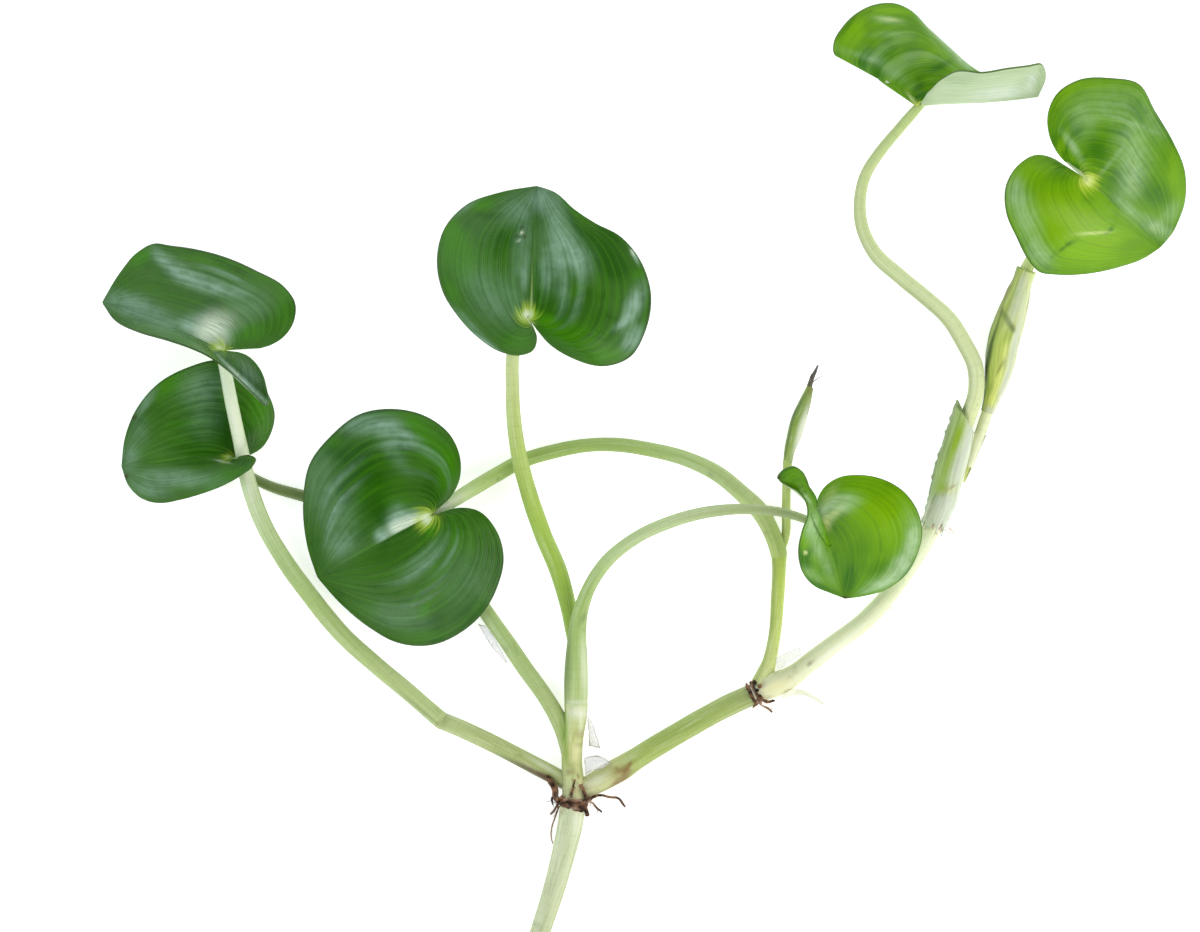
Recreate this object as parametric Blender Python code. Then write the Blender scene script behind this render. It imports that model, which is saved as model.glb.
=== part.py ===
"""Mud plantain: a cut shoot with seven kidney-shaped leaves, laid flat on a table.

Lengths in this file are millimetres, and MM turns them into metres. The origin lies on the table
under the middle of the plant, +X runs along its longest side and +Z points up from the table.

A stem is a list of points (x, y, height of its centre, radius). ON_TABLE as the height lets the
stem lie on the table, with its underside pressed a little flat.
A leaf is a fan of rays from its attachment point to the points of its margin.
"""
import math

import bmesh
import bpy
import numpy as np
from mathutils import Vector

MM = 0.001

# Driving sizes
TABLE_PRESS = 0.2
BLADE_THICKNESS = 0.6
SHEATH_THICKNESS = 0.44
MEMBRANE_THICKNESS = 0.3
ROOT_RADIUS = 0.34
ROOT_TIP_RADIUS = 0.2
LONG_RAY = 20.0
ON_TABLE = None

# Fineness of the meshes
STEM_SIDES = 10
ROOT_SIDES = 5
ROW_LENGTH = 4.6
ROOT_ROW_LENGTH = 1.6
BLADE_COLUMNS = 28
BLADE_RINGS = (0.0, 0.3, 0.6, 0.84, 1.0)
SHEATH_COLUMNS = 12
SHEATH_ROW_LENGTH = 2.3
MOUTH_CURVE = 3
MEMBRANE_COLUMNS = 2
MEMBRANE_ROWS = 5
WELD = 0.001

# Main axis and side branches
STEMS = {
    "stem_lower": [
        (-23.6, -96.8, ON_TABLE, 1.9), (-20.8, -88.2, ON_TABLE, 2.0), (-17.7, -78.4, ON_TABLE, 2.2),
        (-15.9, -71.4, ON_TABLE, 2.35), (-14.6, -64.9, ON_TABLE, 2.5),
    ],
    "central_shoot": [
        (-14.3, -61.5, 2.5, 2.3), (-14.35, -59.4, 2.6, 2.2), (-14.6, -55.4, 2.8, 2.05),
        (-14.5, -50.4, 3.1, 2.1), (-13.8, -43.6, 3.5, 2.3),
    ],
    "stem_left": [
        (-18.5, -57.3, ON_TABLE, 1.75), (-25.0, -53.9, ON_TABLE, 1.72), (-33.1, -49.8, ON_TABLE, 1.75),
        (-37.0, -48.0, ON_TABLE, 1.72), (-40.4, -46.7, ON_TABLE, 1.7),
    ],
    "stem_middle": [
        (-10.6, -59.3, ON_TABLE, 2.2), (-7.2, -57.4, ON_TABLE, 2.45), (-4.4, -55.8, ON_TABLE, 2.45),
        (-2.6, -54.6, ON_TABLE, 2.25), (4.6, -50.2, ON_TABLE, 2.15), (11.5, -46.2, ON_TABLE, 2.15),
        (17.6, -43.0, ON_TABLE, 2.15), (20.0, -41.9, ON_TABLE, 2.1),
    ],
    "stem_upper": [
        (23.5, -40.4, ON_TABLE, 2.2), (26.0, -39.3, ON_TABLE, 2.45), (28.4, -38.2, ON_TABLE, 2.25),
        (30.3, -36.9, ON_TABLE, 2.0), (33.7, -34.2, ON_TABLE, 1.9), (37.0, -31.6, ON_TABLE, 1.75),
        (43.7, -26.6, ON_TABLE, 1.75), (47.8, -22.4, ON_TABLE, 1.75), (52.0, -16.8, ON_TABLE, 1.75),
        (56.6, -9.2, ON_TABLE, 1.85),
    ],
    "shoot_upright": [
        (24.7, -35.0, ON_TABLE, 1.4), (25.4, -32.1, ON_TABLE, 1.24), (26.0, -28.7, ON_TABLE, 1.2),
        (26.5, -22.0, ON_TABLE, 1.3), (26.8, -15.6, ON_TABLE, 1.38), (26.8, -13.6, ON_TABLE, 1.55),
    ],
}

# Leaf stalks, each from its base to just under its blade
PETIOLES = {
    "petiole_far_left": [
        (-41.3, -46.2, ON_TABLE, 1.7), (-47.3, -40.8, ON_TABLE, 1.7), (-54.0, -35.2, ON_TABLE, 1.7),
        (-61.0, -28.8, 1.7, 1.72), (-66.7, -21.8, 2.0, 1.72), (-71.7, -15.0, 2.6, 1.7),
        (-76.1, -7.4, 3.6, 1.65), (-78.8, -0.4, 4.3, 1.6), (-79.8, 3.4, 4.7, 1.5),
        (-80.5, 7.2, 5.8, 1.4), (-81.6, 12.6, 7.8, 1.35), (-82.8, 18.6, 9.4, 1.3),
        (-83.7, 23.2, 9.8, 1.2), (-84.4, 25.8, 9.4, 1.1),
    ],
    "petiole_low_left": [
        (-18.3, -44.3, 2.4, 1.65), (-20.0, -41.6, 2.0, 1.6), (-23.8, -36.4, ON_TABLE, 1.6),
        (-28.4, -29.6, ON_TABLE, 1.55), (-36.4, -19.0, ON_TABLE, 1.45), (-43.0, -13.0, ON_TABLE, 1.4),
        (-51.0, -8.0, ON_TABLE, 1.3), (-60.0, -4.2, ON_TABLE, 1.2), (-68.4, -1.6, ON_TABLE, 1.15),
        (-74.8, 0.3, ON_TABLE, 1.05), (-78.4, 2.0, ON_TABLE, 1.0), (-80.8, 3.6, 1.5, 1.0),
        (-82.2, 4.9, 2.8, 0.95),
    ],
    "petiole_centre": [
        (-14.4, -28.8, 2.0, 1.45), (-15.1, -24.8, 2.4, 1.55), (-17.3, -16.7, 3.8, 1.7),
        (-20.7, -8.5, 5.2, 1.7), (-23.4, -0.5, 5.8, 1.65), (-25.2, 6.6, 6.0, 1.55),
        (-26.2, 13.6, 5.9, 1.45), (-26.5, 20.6, 5.8, 1.35), (-26.5, 25.6, 6.2, 1.3),
        (-26.1, 28.6, 7.4, 1.25), (-25.2, 31.4, 9.0, 1.2), (-24.2, 33.6, 10.3, 1.15),
    ],
    "petiole_arch_right": [
        (-13.7, -42.8, 3.6, 2.2), (-13.8, -38.4, 3.9, 2.35), (-13.7, -33.4, 4.6, 2.15),
        (-13.6, -29.6, 5.4, 1.8), (-13.1, -25.4, 6.2, 1.55), (-11.6, -20.8, 6.9, 1.35),
        (-7.7, -14.7, 7.8, 1.3), (-1.8, -9.9, 8.6, 1.25), (5.2, -6.7, 9.2, 1.25),
        (13.0, -4.7, 9.6, 1.15), (21.0, -4.2, 9.8, 1.0), (28.0, -5.0, 9.7, 0.9),
        (31.6, -6.1, 9.6, 0.85), (33.4, -6.9, 9.5, 0.85),
    ],
    "petiole_arch_left": [
        (26.6, -12.4, 1.9, 1.6), (25.7, -9.8, 2.3, 1.65), (23.0, -4.7, 2.6, 1.75),
        (19.4, -1.2, 2.6, 1.65), (14.7, 2.7, 2.4, 1.6), (8.8, 5.6, 2.0, 1.5),
        (1.9, 7.5, ON_TABLE, 1.4), (-5.0, 8.6, ON_TABLE, 1.4), (-12.0, 8.5, ON_TABLE, 1.35),
        (-18.3, 7.3, ON_TABLE, 1.4), (-24.8, 5.3, 1.5, 1.45), (-29.8, 2.6, 2.4, 1.5),
        (-34.8, -0.4, 4.0, 1.45), (-38.0, -2.4, 5.5, 1.35), (-40.8, -4.2, 6.8, 1.25),
        (-42.4, -5.2, 7.2, 1.2),
    ],
    "petiole_top": [
        (58.2, -5.2, 2.1, 1.5), (59.4, -1.4, 2.6, 1.5), (61.2, 4.6, 2.9, 1.5), (63.0, 10.2, 3.1, 1.5),
        (64.8, 15.0, 3.8, 1.55), (66.1, 19.2, 4.6, 1.6), (65.9, 24.2, 4.9, 1.6), (63.8, 28.8, 4.9, 1.6),
        (60.8, 33.6, 5.0, 1.6), (55.9, 38.1, 5.2, 1.5), (50.9, 42.2, 5.6, 1.5), (46.0, 46.7, 6.0, 1.45),
        (43.3, 52.2, 6.2, 1.3), (42.9, 57.6, 6.3, 1.2), (44.0, 62.5, 6.3, 1.15),
        (46.8, 67.0, 6.2, 1.1), (50.3, 71.2, 6.1, 1.05), (53.2, 74.4, 6.2, 1.0),
    ],
    "petiole_right": [
        (67.4, 12.2, 1.9, 1.1), (68.8, 16.6, 2.5, 1.05), (69.9, 20.6, 3.0, 1.05),
        (71.2, 26.6, 3.5, 1.1), (72.6, 32.6, 3.7, 1.15), (74.2, 38.6, 3.9, 1.2), (76.2, 43.8, 4.3, 1.25),
        (78.6, 47.6, 4.8, 1.25), (82.0, 52.6, 5.8, 1.2), (85.4, 57.0, 7.1, 1.15), (87.4, 59.6, 8.0, 1.1),
    ],
}

# Flower shoot beside the left arch
FLOWER_PARTS = {
    "flower_stalk": [
        (28.2, -9.0, 1.5, 0.85), (28.2, -4.4, 1.4, 0.88), (28.3, 0.6, 1.4, 0.85),
        (28.4, 4.9, 1.5, 0.85),
    ],
    "flower_spathe": [
        (28.5, 5.4, 1.6, 1.0), (29.0, 8.2, 1.7, 1.5), (29.8, 11.2, 1.8, 1.72),
        (30.8, 14.6, 1.9, 1.55), (32.0, 17.8, 2.0, 1.15), (33.0, 20.1, 2.0, 0.8),
    ],
    "flower_withered": [
        (33.2, 20.6, 2.0, 0.6), (33.7, 22.4, 2.1, 0.55), (34.8, 24.4, 2.2, 0.25),
    ],
}

BRACT = [
    (63.7, 1.2, 0.8, 0.25), (64.6, 3.6, 0.8, 0.5), (65.8, 6.4, 0.9, 0.5), (67.2, 9.0, 0.9, 0.35),
    (68.1, 10.4, 0.9, 0.15),
]

# Leaves: attachment, tip, the two sides of the margin from attachment to tip, and how far the
# blade swells halfway along its rays on the first side, at the tip and on the second side
LEAVES = {
    "leaf_far_left": dict(
        attachment=(-85.0, 27.4, 11.0),
        tip=(-108.3, 37.0, 8.5),
        first_side=[
            (-83.0, 28.1, 10.6), (-79.8, 28.0, 9.4), (-75.8, 28.2, 8.0), (-72.2, 30.2, 6.0),
            (-70.2, 33.4, 4.2), (-70.0, 37.0, 3.0), (-72.0, 40.0, 2.2), (-77.8, 43.4, 1.3),
            (-84.0, 46.1, 0.7), (-90.6, 47.8, 0.5), (-95.0, 48.4, 1.1), (-98.0, 48.8, 2.2),
            (-101.4, 47.0, 3.8), (-104.6, 43.2, 6.0),
        ],
        second_side=[
            (-83.4, 27.1, 12.0), (-81.0, 26.9, 14.0), (-78.8, 26.0, 16.5), (-77.0, 24.2, 19.0),
            (-75.8, 22.0, 21.0), (-75.2, 19.6, 22.5), (-74.8, 17.2, 23.5), (-75.1, 16.4, 24.3),
            (-77.4, 18.3, 25.6), (-80.4, 21.3, 26.6), (-83.6, 24.0, 27.0), (-86.6, 26.1, 26.6),
            (-90.0, 27.7, 25.0), (-95.0, 29.4, 22.4), (-100.6, 31.0, 18.8), (-105.6, 33.4, 13.5),
        ],
        swell=(0.6, 1.5, 0.5),
    ),
    "leaf_low_left": dict(
        attachment=(-83.2, 5.6, 4.6),
        tip=(-104.6, 4.4, 3.0),
        first_side=[
            (-81.4, 6.1, 3.4), (-79.4, 6.6, 2.6), (-76.6, 8.2, 2.2), (-74.8, 11.2, 2.4),
            (-74.1, 14.8, 3.2), (-75.2, 18.6, 4.2), (-77.4, 22.2, 5.2), (-81.0, 24.8, 6.2),
            (-85.4, 25.6, 7.0), (-91.0, 24.2, 7.8), (-97.0, 21.0, 8.0), (-101.4, 16.0, 7.2),
            (-103.8, 10.2, 5.4),
        ],
        second_side=[
            (-82.0, 5.8, 7.2), (-80.4, 6.3, 9.6), (-78.8, 6.4, 10.4), (-77.7, 5.8, 10.4),
            (-78.4, 4.2, 10.0), (-80.4, 2.6, 8.8), (-83.4, 0.8, 6.4), (-88.0, -1.0, 3.6),
            (-93.0, -2.4, 1.8), (-97.0, -3.0, 0.7), (-100.0, -2.4, 0.4), (-103.0, 0.2, 1.2),
        ],
        swell=(0.0, 0.4, 0.8),
    ),
    "leaf_centre": dict(
        attachment=(-23.6, 34.6, 12.5),
        tip=(-21.6, 60.2, 8.0),
        first_side=[
            (-21.6, 31.8, 12.0), (-19.2, 29.0, 11.8), (-14.4, 26.0, 10.8), (-8.0, 24.4, 9.4),
            (-3.0, 26.2, 7.8), (0.0, 31.2, 6.4), (1.2, 38.6, 5.6), (-0.6, 44.8, 6.0),
            (-5.0, 50.2, 8.0), (-10.0, 52.8, 9.6), (-14.2, 55.6, 10.2), (-17.8, 58.8, 9.6),
        ],
        second_side=[
            (-22.4, 32.0, 11.6), (-21.7, 29.9, 10.8), (-22.4, 27.6, 9.9), (-25.0, 26.6, 9.2),
            (-28.6, 27.2, 8.4),
            (-33.4, 30.2, 6.8), (-37.4, 34.4, 5.4), (-40.4, 39.2, 4.4), (-41.6, 45.2, 4.0),
            (-40.2, 51.6, 4.4), (-35.8, 56.4, 5.8), (-29.0, 58.9, 7.4),
        ],
        swell=(1.8, 0.9, 1.8),
    ),
    "leaf_left": dict(
        attachment=(-43.6, -6.0, 9.0),
        tip=(-65.4, -17.8, 3.6),
        first_side=[
            (-42.0, -4.2, 9.2), (-39.2, -2.0, 9.4), (-37.2, 1.6, 9.4), (-37.0, 6.0, 9.2),
            (-39.0, 10.6, 8.4), (-43.4, 14.1, 7.4), (-50.0, 15.8, 6.4), (-57.0, 14.8, 5.8),
            (-63.0, 10.2, 5.4), (-66.8, 5.2, 5.1), (-68.2, -2.4, 4.9), (-67.4, -11.4, 4.4),
        ],
        second_side=[
            (-41.6, -5.8, 9.2), (-38.0, -4.2, 9.4), (-33.4, -4.6, 9.0), (-29.6, -8.8, 7.8),
            (-28.3, -14.4, 6.4), (-29.4, -19.4, 5.3), (-31.8, -24.2, 4.5), (-36.6, -28.8, 2.6),
            (-42.6, -31.4, 0.7), (-49.0, -31.1, 0.4), (-54.8, -28.0, 0.9), (-60.6, -23.2, 2.0),
        ],
        swell=(1.6, 0.8, 1.4),
    ),
    "leaf_folded": dict(
        attachment=(35.0, -7.6, 11.0),
        tip=(39.8, -22.0, 5.5),
        first_side=[
            (34.2, -5.2, 13.0), (34.1, -2.2, 16.0), (32.4, 0.8, 19.0), (31.1, 3.4, 20.0),
            (29.6, 4.3, 20.0), (27.6, 3.8, 18.8), (26.3, 2.0, 17.2), (28.2, 0.6, 18.6),
            (30.4, -0.7, 19.6), (32.0, -2.8, 19.8), (32.3, -5.2, 19.2), (31.3, -8.2, 18.2),
            (30.5, -12.2, 16.6), (31.4, -16.8, 13.6), (33.4, -19.3, 11.0), (36.2, -20.6, 8.0),
        ],
        second_side=[
            (34.6, -4.8, 11.6), (34.5, -2.2, 12.2), (35.8, 0.2, 12.8), (38.6, 2.1, 13.2),
            (42.6, 2.6, 13.6), (47.2, 1.8, 13.6), (51.4, -0.6, 13.0), (54.2, -4.4, 12.2),
            (55.2, -8.4, 11.0), (54.4, -12.8, 9.6), (52.0, -17.2, 8.0), (48.0, -20.2, 6.8),
            (43.8, -21.4, 6.0),
        ],
        swell=(-0.4, 0.6, 1.4),
    ),
    "leaf_top": dict(
        attachment=(54.6, 76.0, 8.0),
        tip=(78.4, 78.2, 7.0),
        first_side=[
            (55.6, 77.4, 11.0), (56.9, 79.4, 15.0), (59.0, 81.4, 18.4), (62.0, 82.9, 20.4),
            (67.2, 82.6, 21.0), (72.0, 83.4, 20.0), (76.2, 84.0, 17.4), (79.0, 84.4, 14.0),
            (79.8, 81.8, 10.0),
        ],
        second_side=[
            (53.3, 76.9, 7.8), (50.3, 79.0, 7.0), (47.2, 81.2, 5.9), (44.6, 83.4, 4.8),
            (41.6, 85.8, 3.5), (37.8, 86.8, 2.4), (37.8, 89.2, 2.0), (39.4, 92.0, 1.6), (42.2, 94.8, 1.1),
            (46.0, 96.6, 0.8), (50.4, 96.7, 0.6), (52.8, 95.6, 0.5), (56.6, 92.0, 0.4),
            (61.0, 87.8, 0.4), (65.4, 84.0, 1.0), (71.6, 80.8, 3.0),
        ],
        swell=(0.8, -0.8, 1.2),
    ),
    "leaf_right": dict(
        attachment=(88.4, 61.2, 10.0),
        tip=(103.0, 48.2, 0.7),
        first_side=[
            (86.6, 61.9, 9.2), (84.2, 63.5, 8.8), (81.6, 65.5, 8.8), (78.0, 66.3, 9.0),
            (74.4, 64.2, 9.6), (72.0, 60.2, 10.0), (72.0, 54.8, 10.3), (74.0, 50.0, 10.0),
            (76.4, 45.4, 9.4), (78.4, 43.2, 8.4), (82.0, 42.6, 6.6), (88.0, 42.8, 4.4),
            (94.6, 44.2, 2.6), (99.6, 46.0, 1.3),
        ],
        second_side=[
            (87.0, 63.0, 10.6), (84.8, 64.4, 11.2), (82.4, 66.6, 11.2), (80.6, 70.4, 10.8),
            (80.4, 74.6, 10.2), (82.2, 78.6, 9.6), (86.6, 81.4, 9.0), (93.0, 81.8, 8.0),
            (98.4, 80.8, 6.8), (101.8, 75.4, 5.0), (105.4, 69.4, 3.2), (107.8, 63.6, 1.6),
            (107.8, 57.0, 0.6), (106.0, 52.0, 0.4),
        ],
        swell=(1.2, 1.0, 1.2),
    ),
}

# Leaf sheaths: open tubes wrapped round a stalk, with the angles of their two edges in degrees
# (0 is the right-hand side, 90 the top) and how far the mouth leans forward on the left
SHEATHS = {
    "sheath_upper": dict(
        path=[
            (58.5, -5.2, 2.8, 2.5), (59.4, -2.8, 3.0, 2.75), (60.8, 3.0, 3.15, 2.9),
            (62.0, 7.0, 3.2, 2.85), (63.2, 11.0, 3.3, 2.7), (64.1, 14.2, 3.5, 2.5),
        ],
        edges=(-70.0, 245.0),
        mouth_lean=2.8,
    ),
    "sheath_right": dict(
        path=[
            (69.2, 17.8, 2.6, 1.5), (70.1, 20.8, 3.0, 2.2), (70.9, 24.8, 3.4, 2.85),
            (71.7, 29.6, 3.6, 3.1), (72.7, 32.8, 3.65, 3.0), (74.1, 37.2, 3.8, 2.55),
            (75.5, 41.6, 4.15, 1.9), (76.2, 43.6, 4.35, 1.85),
        ],
        edges=(-60.0, 235.0),
        mouth_lean=0.0,
    ),
}

# Root tufts: a short collar round the joint and the strands that leave it
ROOT_TUFTS = {
    "root_tuft_lower": dict(
        collar=[(-14.55, -64.1, 2.6, 2.6), (-14.45, -63.25, 2.6, 2.85), (-14.4, -62.4, 2.6, 2.6)],
        strands=[
            [(-11.4, -62.6, 3.2), (-9.6, -61.3, 3.8), (-7.0, -61.8, 2.6), (-5.2, -62.6, 1.4),
             (-4.0, -63.9, 0.6)],
            [(-11.0, -62.8, 2.2), (-9.8, -63.6, 1.6), (-8.6, -64.9, 0.7)],
            [(-12.2, -63.2, 3.6), (-11.4, -64.4, 3.0), (-11.2, -65.6, 2.2)],
            [(-17.0, -62.4, 2.2), (-17.8, -63.6, 1.6), (-18.8, -65.2, 0.7)],
            [(-17.0, -62.0, 3.4), (-17.5, -60.8, 3.9), (-17.6, -59.4, 4.1)],
            [(-15.4, -62.2, 4.8), (-14.8, -60.4, 5.6), (-14.0, -58.2, 5.4)],
            [(-12.6, -62.4, 4.6), (-11.6, -60.8, 5.4), (-12.8, -58.6, 5.2)],
            [(-17.4, -63.3, 2.0), (-18.6, -65.2, 1.2), (-19.1, -68.2, 0.6), (-19.0, -70.8, 0.6)],
        ],
    ),
    "root_tuft_middle": dict(
        collar=[(20.95, -41.5, 2.2, 2.2), (21.7, -41.15, 2.2, 2.45), (22.4, -40.85, 2.2, 2.2)],
        strands=[
            [(22.7, -42.2, 4.2), (24.2, -42.9, 4.4), (25.9, -42.9, 3.8)],
            [(22.5, -42.9, 2.2), (23.9, -43.8, 1.4), (25.4, -44.8, 0.6)],
            [(21.7, -42.6, 3.4), (21.8, -43.5, 2.4), (21.9, -44.2, 1.4)],
            [(21.5, -39.4, 3.8), (21.6, -38.8, 3.2), (21.7, -38.4, 2.6)],
        ],
    ),
    "root_tuft_upper": dict(
        collar=[(57.2, -8.0, 2.0, 1.8), (57.5, -7.2, 2.0, 1.95), (57.8, -6.4, 2.0, 1.8)],
        strands=[
            [(56.2, -7.2, 3.2), (55.2, -7.4, 2.8), (54.0, -7.8, 1.8)],
            [(58.8, -8.0, 2.2), (59.4, -9.6, 1.4), (60.0, -10.6, 0.6)],
            [(59.2, -7.4, 2.2), (60.4, -7.7, 1.4), (61.8, -8.0, 0.6)],
            [(58.4, -8.0, 3.6), (59.8, -8.4, 3.2), (61.2, -9.2, 2.2)],
        ],
    ),
}

# Thin dry skins: the two long edges of each, joined by a sheet
MEMBRANES = {
    "stipule_centre": (
        [(-11.2, -45.6, 3.4), (-9.9, -48.6, 2.2), (-9.0, -52.0, 0.8)],
        [(-11.5, -46.4, 2.6), (-11.2, -49.6, 1.6), (-11.2, -51.6, 0.8)],
    ),
    "stipule_joint": (
        [(-12.1, -53.9, 4.4), (-9.6, -53.4, 5.2), (-6.8, -54.8, 5.0)],
        [(-11.9, -57.2, 4.7), (-10.4, -56.4, 5.2), (-8.4, -56.0, 5.2)],
    ),
    "stipule_low_left": (
        [(-33.4, -27.2, 1.6), (-30.8, -31.4, 1.0), (-27.6, -35.2, 0.5)],
        [(-32.0, -27.5, 2.0), (-30.2, -30.1, 2.2), (-27.6, -34.5, 1.2)],
    ),
    "stipule_middle": (
        [(26.0, -34.0, 4.0), (28.4, -32.8, 4.2), (31.0, -31.8, 3.8)],
        [(26.6, -36.6, 4.9), (28.8, -34.8, 4.6), (31.2, -33.2, 4.2)],
    ),
    "stipule_curled": (
        [(27.0, -42.0, 3.4), (31.0, -41.4, 2.2), (36.2, -43.6, 0.6)],
        [(28.8, -40.3, 3.9), (31.4, -40.3, 1.6), (35.0, -42.2, 0.4)],
    ),
    "stipule_upper": (
        [(34.8, -35.8, 0.5), (38.1, -33.0, 0.5), (44.9, -27.9, 0.5), (49.3, -23.5, 0.5)],
        [(35.0, -36.2, 0.4), (38.4, -33.4, 0.4), (45.3, -28.4, 0.4), (49.8, -24.0, 0.4)],
    ),
}


def clear_scene():
    """Take every object out of the open scene."""
    for obj in list(bpy.data.objects):
        bpy.data.objects.remove(obj, do_unlink=True)


def linear(*levels):
    """Colour for a shader from the 0 to 255 levels seen on a screen."""
    share = [level / 255 for level in levels]
    return [s / 12.92 if s <= 0.04045 else ((s + 0.055) / 1.055) ** 2.4 for s in share] + [1.0]


def finish(name, colour, roughness):
    """Plain surface of one colour."""
    material = bpy.data.materials.new(name)
    material.use_nodes = True
    shader = material.node_tree.nodes["Principled BSDF"]
    shader.inputs["Base Color"].default_value = colour
    shader.inputs["Roughness"].default_value = roughness
    shader.inputs["Metallic"].default_value = 0.0
    material.diffuse_color = colour
    return material


def settled(path):
    """Points of a stem with every ON_TABLE height worked out from its radius."""
    return [(x, y, r - TABLE_PRESS if z is ON_TABLE else z, r) for x, y, z, r in path]


def smooth(points, count):
    """Evenly spaced samples of the smooth curve that runs through the points."""
    knots = np.array(points, float)
    steps = np.linalg.norm(np.diff(knots[:, :3], axis=0), axis=1)
    reach = np.concatenate(([0.0], np.cumsum(steps)))
    slopes = np.gradient(knots, reach, axis=0)
    where = np.linspace(0.0, reach[-1], count)
    index = np.clip(np.searchsorted(reach, where, side="right") - 1, 0, len(steps) - 1)
    span = steps[index][:, None]
    t = (where - reach[index])[:, None] / span
    return (
        (2 * t**3 - 3 * t**2 + 1) * knots[index]
        + (t**3 - 2 * t**2 + t) * span * slopes[index]
        + (3 * t**2 - 2 * t**3) * knots[index + 1]
        + (t**3 - t**2) * span * slopes[index + 1]
    )


def length(points):
    """Length of the line through the points."""
    knots = np.array(points, float)[:, :3]
    return np.linalg.norm(np.diff(knots, axis=0), axis=1).sum()


def rows_along(points, row_length):
    """Number of mesh rows for a curve through the points."""
    return max(3, round(length(points) / row_length))


def grid(columns, rows, place):
    """Grid mesh whose corner (column, row) lies at place(column, row), with meeting corners welded."""
    bm = bmesh.new()
    bmesh.ops.create_grid(bm, x_segments=columns, y_segments=rows, size=0.5)
    for vert in bm.verts:
        column = round((vert.co.x + 0.5) * columns)
        row = round((vert.co.y + 0.5) * rows)
        vert.co = Vector(place(column, row)) * MM
    bmesh.ops.remove_doubles(bm, verts=bm.verts, dist=WELD * MM)
    return bm


def frames(stations):
    """Unit vectors along, to the right of and above a nearly level curve, at each station."""
    along = np.gradient(stations[:, :3], axis=0)
    along /= np.linalg.norm(along, axis=1)[:, None]
    right = np.cross(along, (0.0, 0.0, 1.0))
    right /= np.linalg.norm(right, axis=1)[:, None]
    return along, right, np.cross(right, along)


def to_object(name, bm, material):
    """Object in the scene from a finished bmesh."""
    bmesh.ops.recalc_face_normals(bm, faces=bm.faces)
    mesh = bpy.data.meshes.new(name)
    bm.to_mesh(mesh)
    bm.free()
    mesh.materials.append(material)
    mesh.shade_smooth()
    obj = bpy.data.objects.new(name, mesh)
    bpy.context.scene.collection.objects.link(obj)
    return obj


def tube_mesh(path, sides, row_length):
    """Closed round tube along the path, cut off flat at both ends and nowhere below the table."""
    rows = rows_along(path, row_length)
    stations = smooth(path, rows + 1)
    _, right, up = frames(stations)

    def place(column, row):
        angle = 2 * math.pi * column / sides
        spoke = math.cos(angle) * right[row] + math.sin(angle) * up[row]
        x, y, z = stations[row, :3] + stations[row, 3] * spoke
        return x, y, max(z, 0.0)

    bm = grid(sides, rows, place)
    rims = [edge for edge in bm.edges if edge.is_boundary]
    bmesh.ops.holes_fill(bm, edges=rims, sides=0)
    return bm


def make_stem(name, path, material):
    """One stem, stalk or flower part."""
    bm = tube_mesh(settled(path), STEM_SIDES, ROW_LENGTH)
    return to_object(name, bm, material)


def thicken(obj, thickness):
    """Give a sheet its thickness, half on each side."""
    shell = obj.modifiers.new("Thickness", "SOLIDIFY")
    shell.thickness = thickness * MM
    shell.offset = 0.0


def make_leaf(name, leaf, material):
    """Blade as a fan of rays from the attachment to the margin, swollen between its ends."""
    heart = np.array(leaf["attachment"], float)
    outline = leaf["first_side"] + [leaf["tip"]] + leaf["second_side"][::-1]
    margin = smooth(outline, BLADE_COLUMNS + 1)
    tip_share = length(leaf["first_side"] + [leaf["tip"]]) / length(outline)
    shares = (0.0, tip_share / 2, tip_share, (1 + tip_share) / 2, 1.0)
    first, middle, second = leaf["swell"]
    swell = np.interp(np.linspace(0, 1, BLADE_COLUMNS + 1), shares, (0.0, first, middle, second, 0.0))

    def place(column, row):
        ray = margin[column] - heart
        share = BLADE_RINGS[row]
        lift = swell[column] * math.sin(math.pi * share) * np.linalg.norm(ray) / LONG_RAY
        return heart + ray * share + np.array((0.0, 0.0, lift))

    bm = grid(BLADE_COLUMNS, len(BLADE_RINGS) - 1, place)
    leaf_object = to_object(name, bm, material)
    thicken(leaf_object, BLADE_THICKNESS)
    return leaf_object


def make_sheath(name, sheath, material):
    """Open tube wrapped round a stalk, with a leaning mouth."""
    path = sheath["path"]
    rows = rows_along(path, SHEATH_ROW_LENGTH)
    stations = smooth(path, rows + 1)
    along, right, up = frames(stations)
    start, end = (math.radians(edge) for edge in sheath["edges"])

    def place(column, row):
        angle = start + (end - start) * column / SHEATH_COLUMNS
        spoke = math.cos(angle) * right[row] + math.sin(angle) * up[row]
        lean = -math.cos(angle) * sheath["mouth_lean"] * (row / rows) ** MOUTH_CURVE
        return stations[row, :3] + stations[row, 3] * spoke + lean * along[row]

    sheath_object = to_object(name, grid(SHEATH_COLUMNS, rows, place), material)
    thicken(sheath_object, SHEATH_THICKNESS)
    return sheath_object


def make_membrane(name, edges, material):
    """Thin dry skin between two edges."""
    first, second = (smooth(edge, MEMBRANE_ROWS + 1) for edge in edges)

    def place(column, row):
        return first[row] + (second[row] - first[row]) * column / MEMBRANE_COLUMNS

    membrane = to_object(name, grid(MEMBRANE_COLUMNS, MEMBRANE_ROWS, place), material)
    thicken(membrane, MEMBRANE_THICKNESS)
    return membrane


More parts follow.
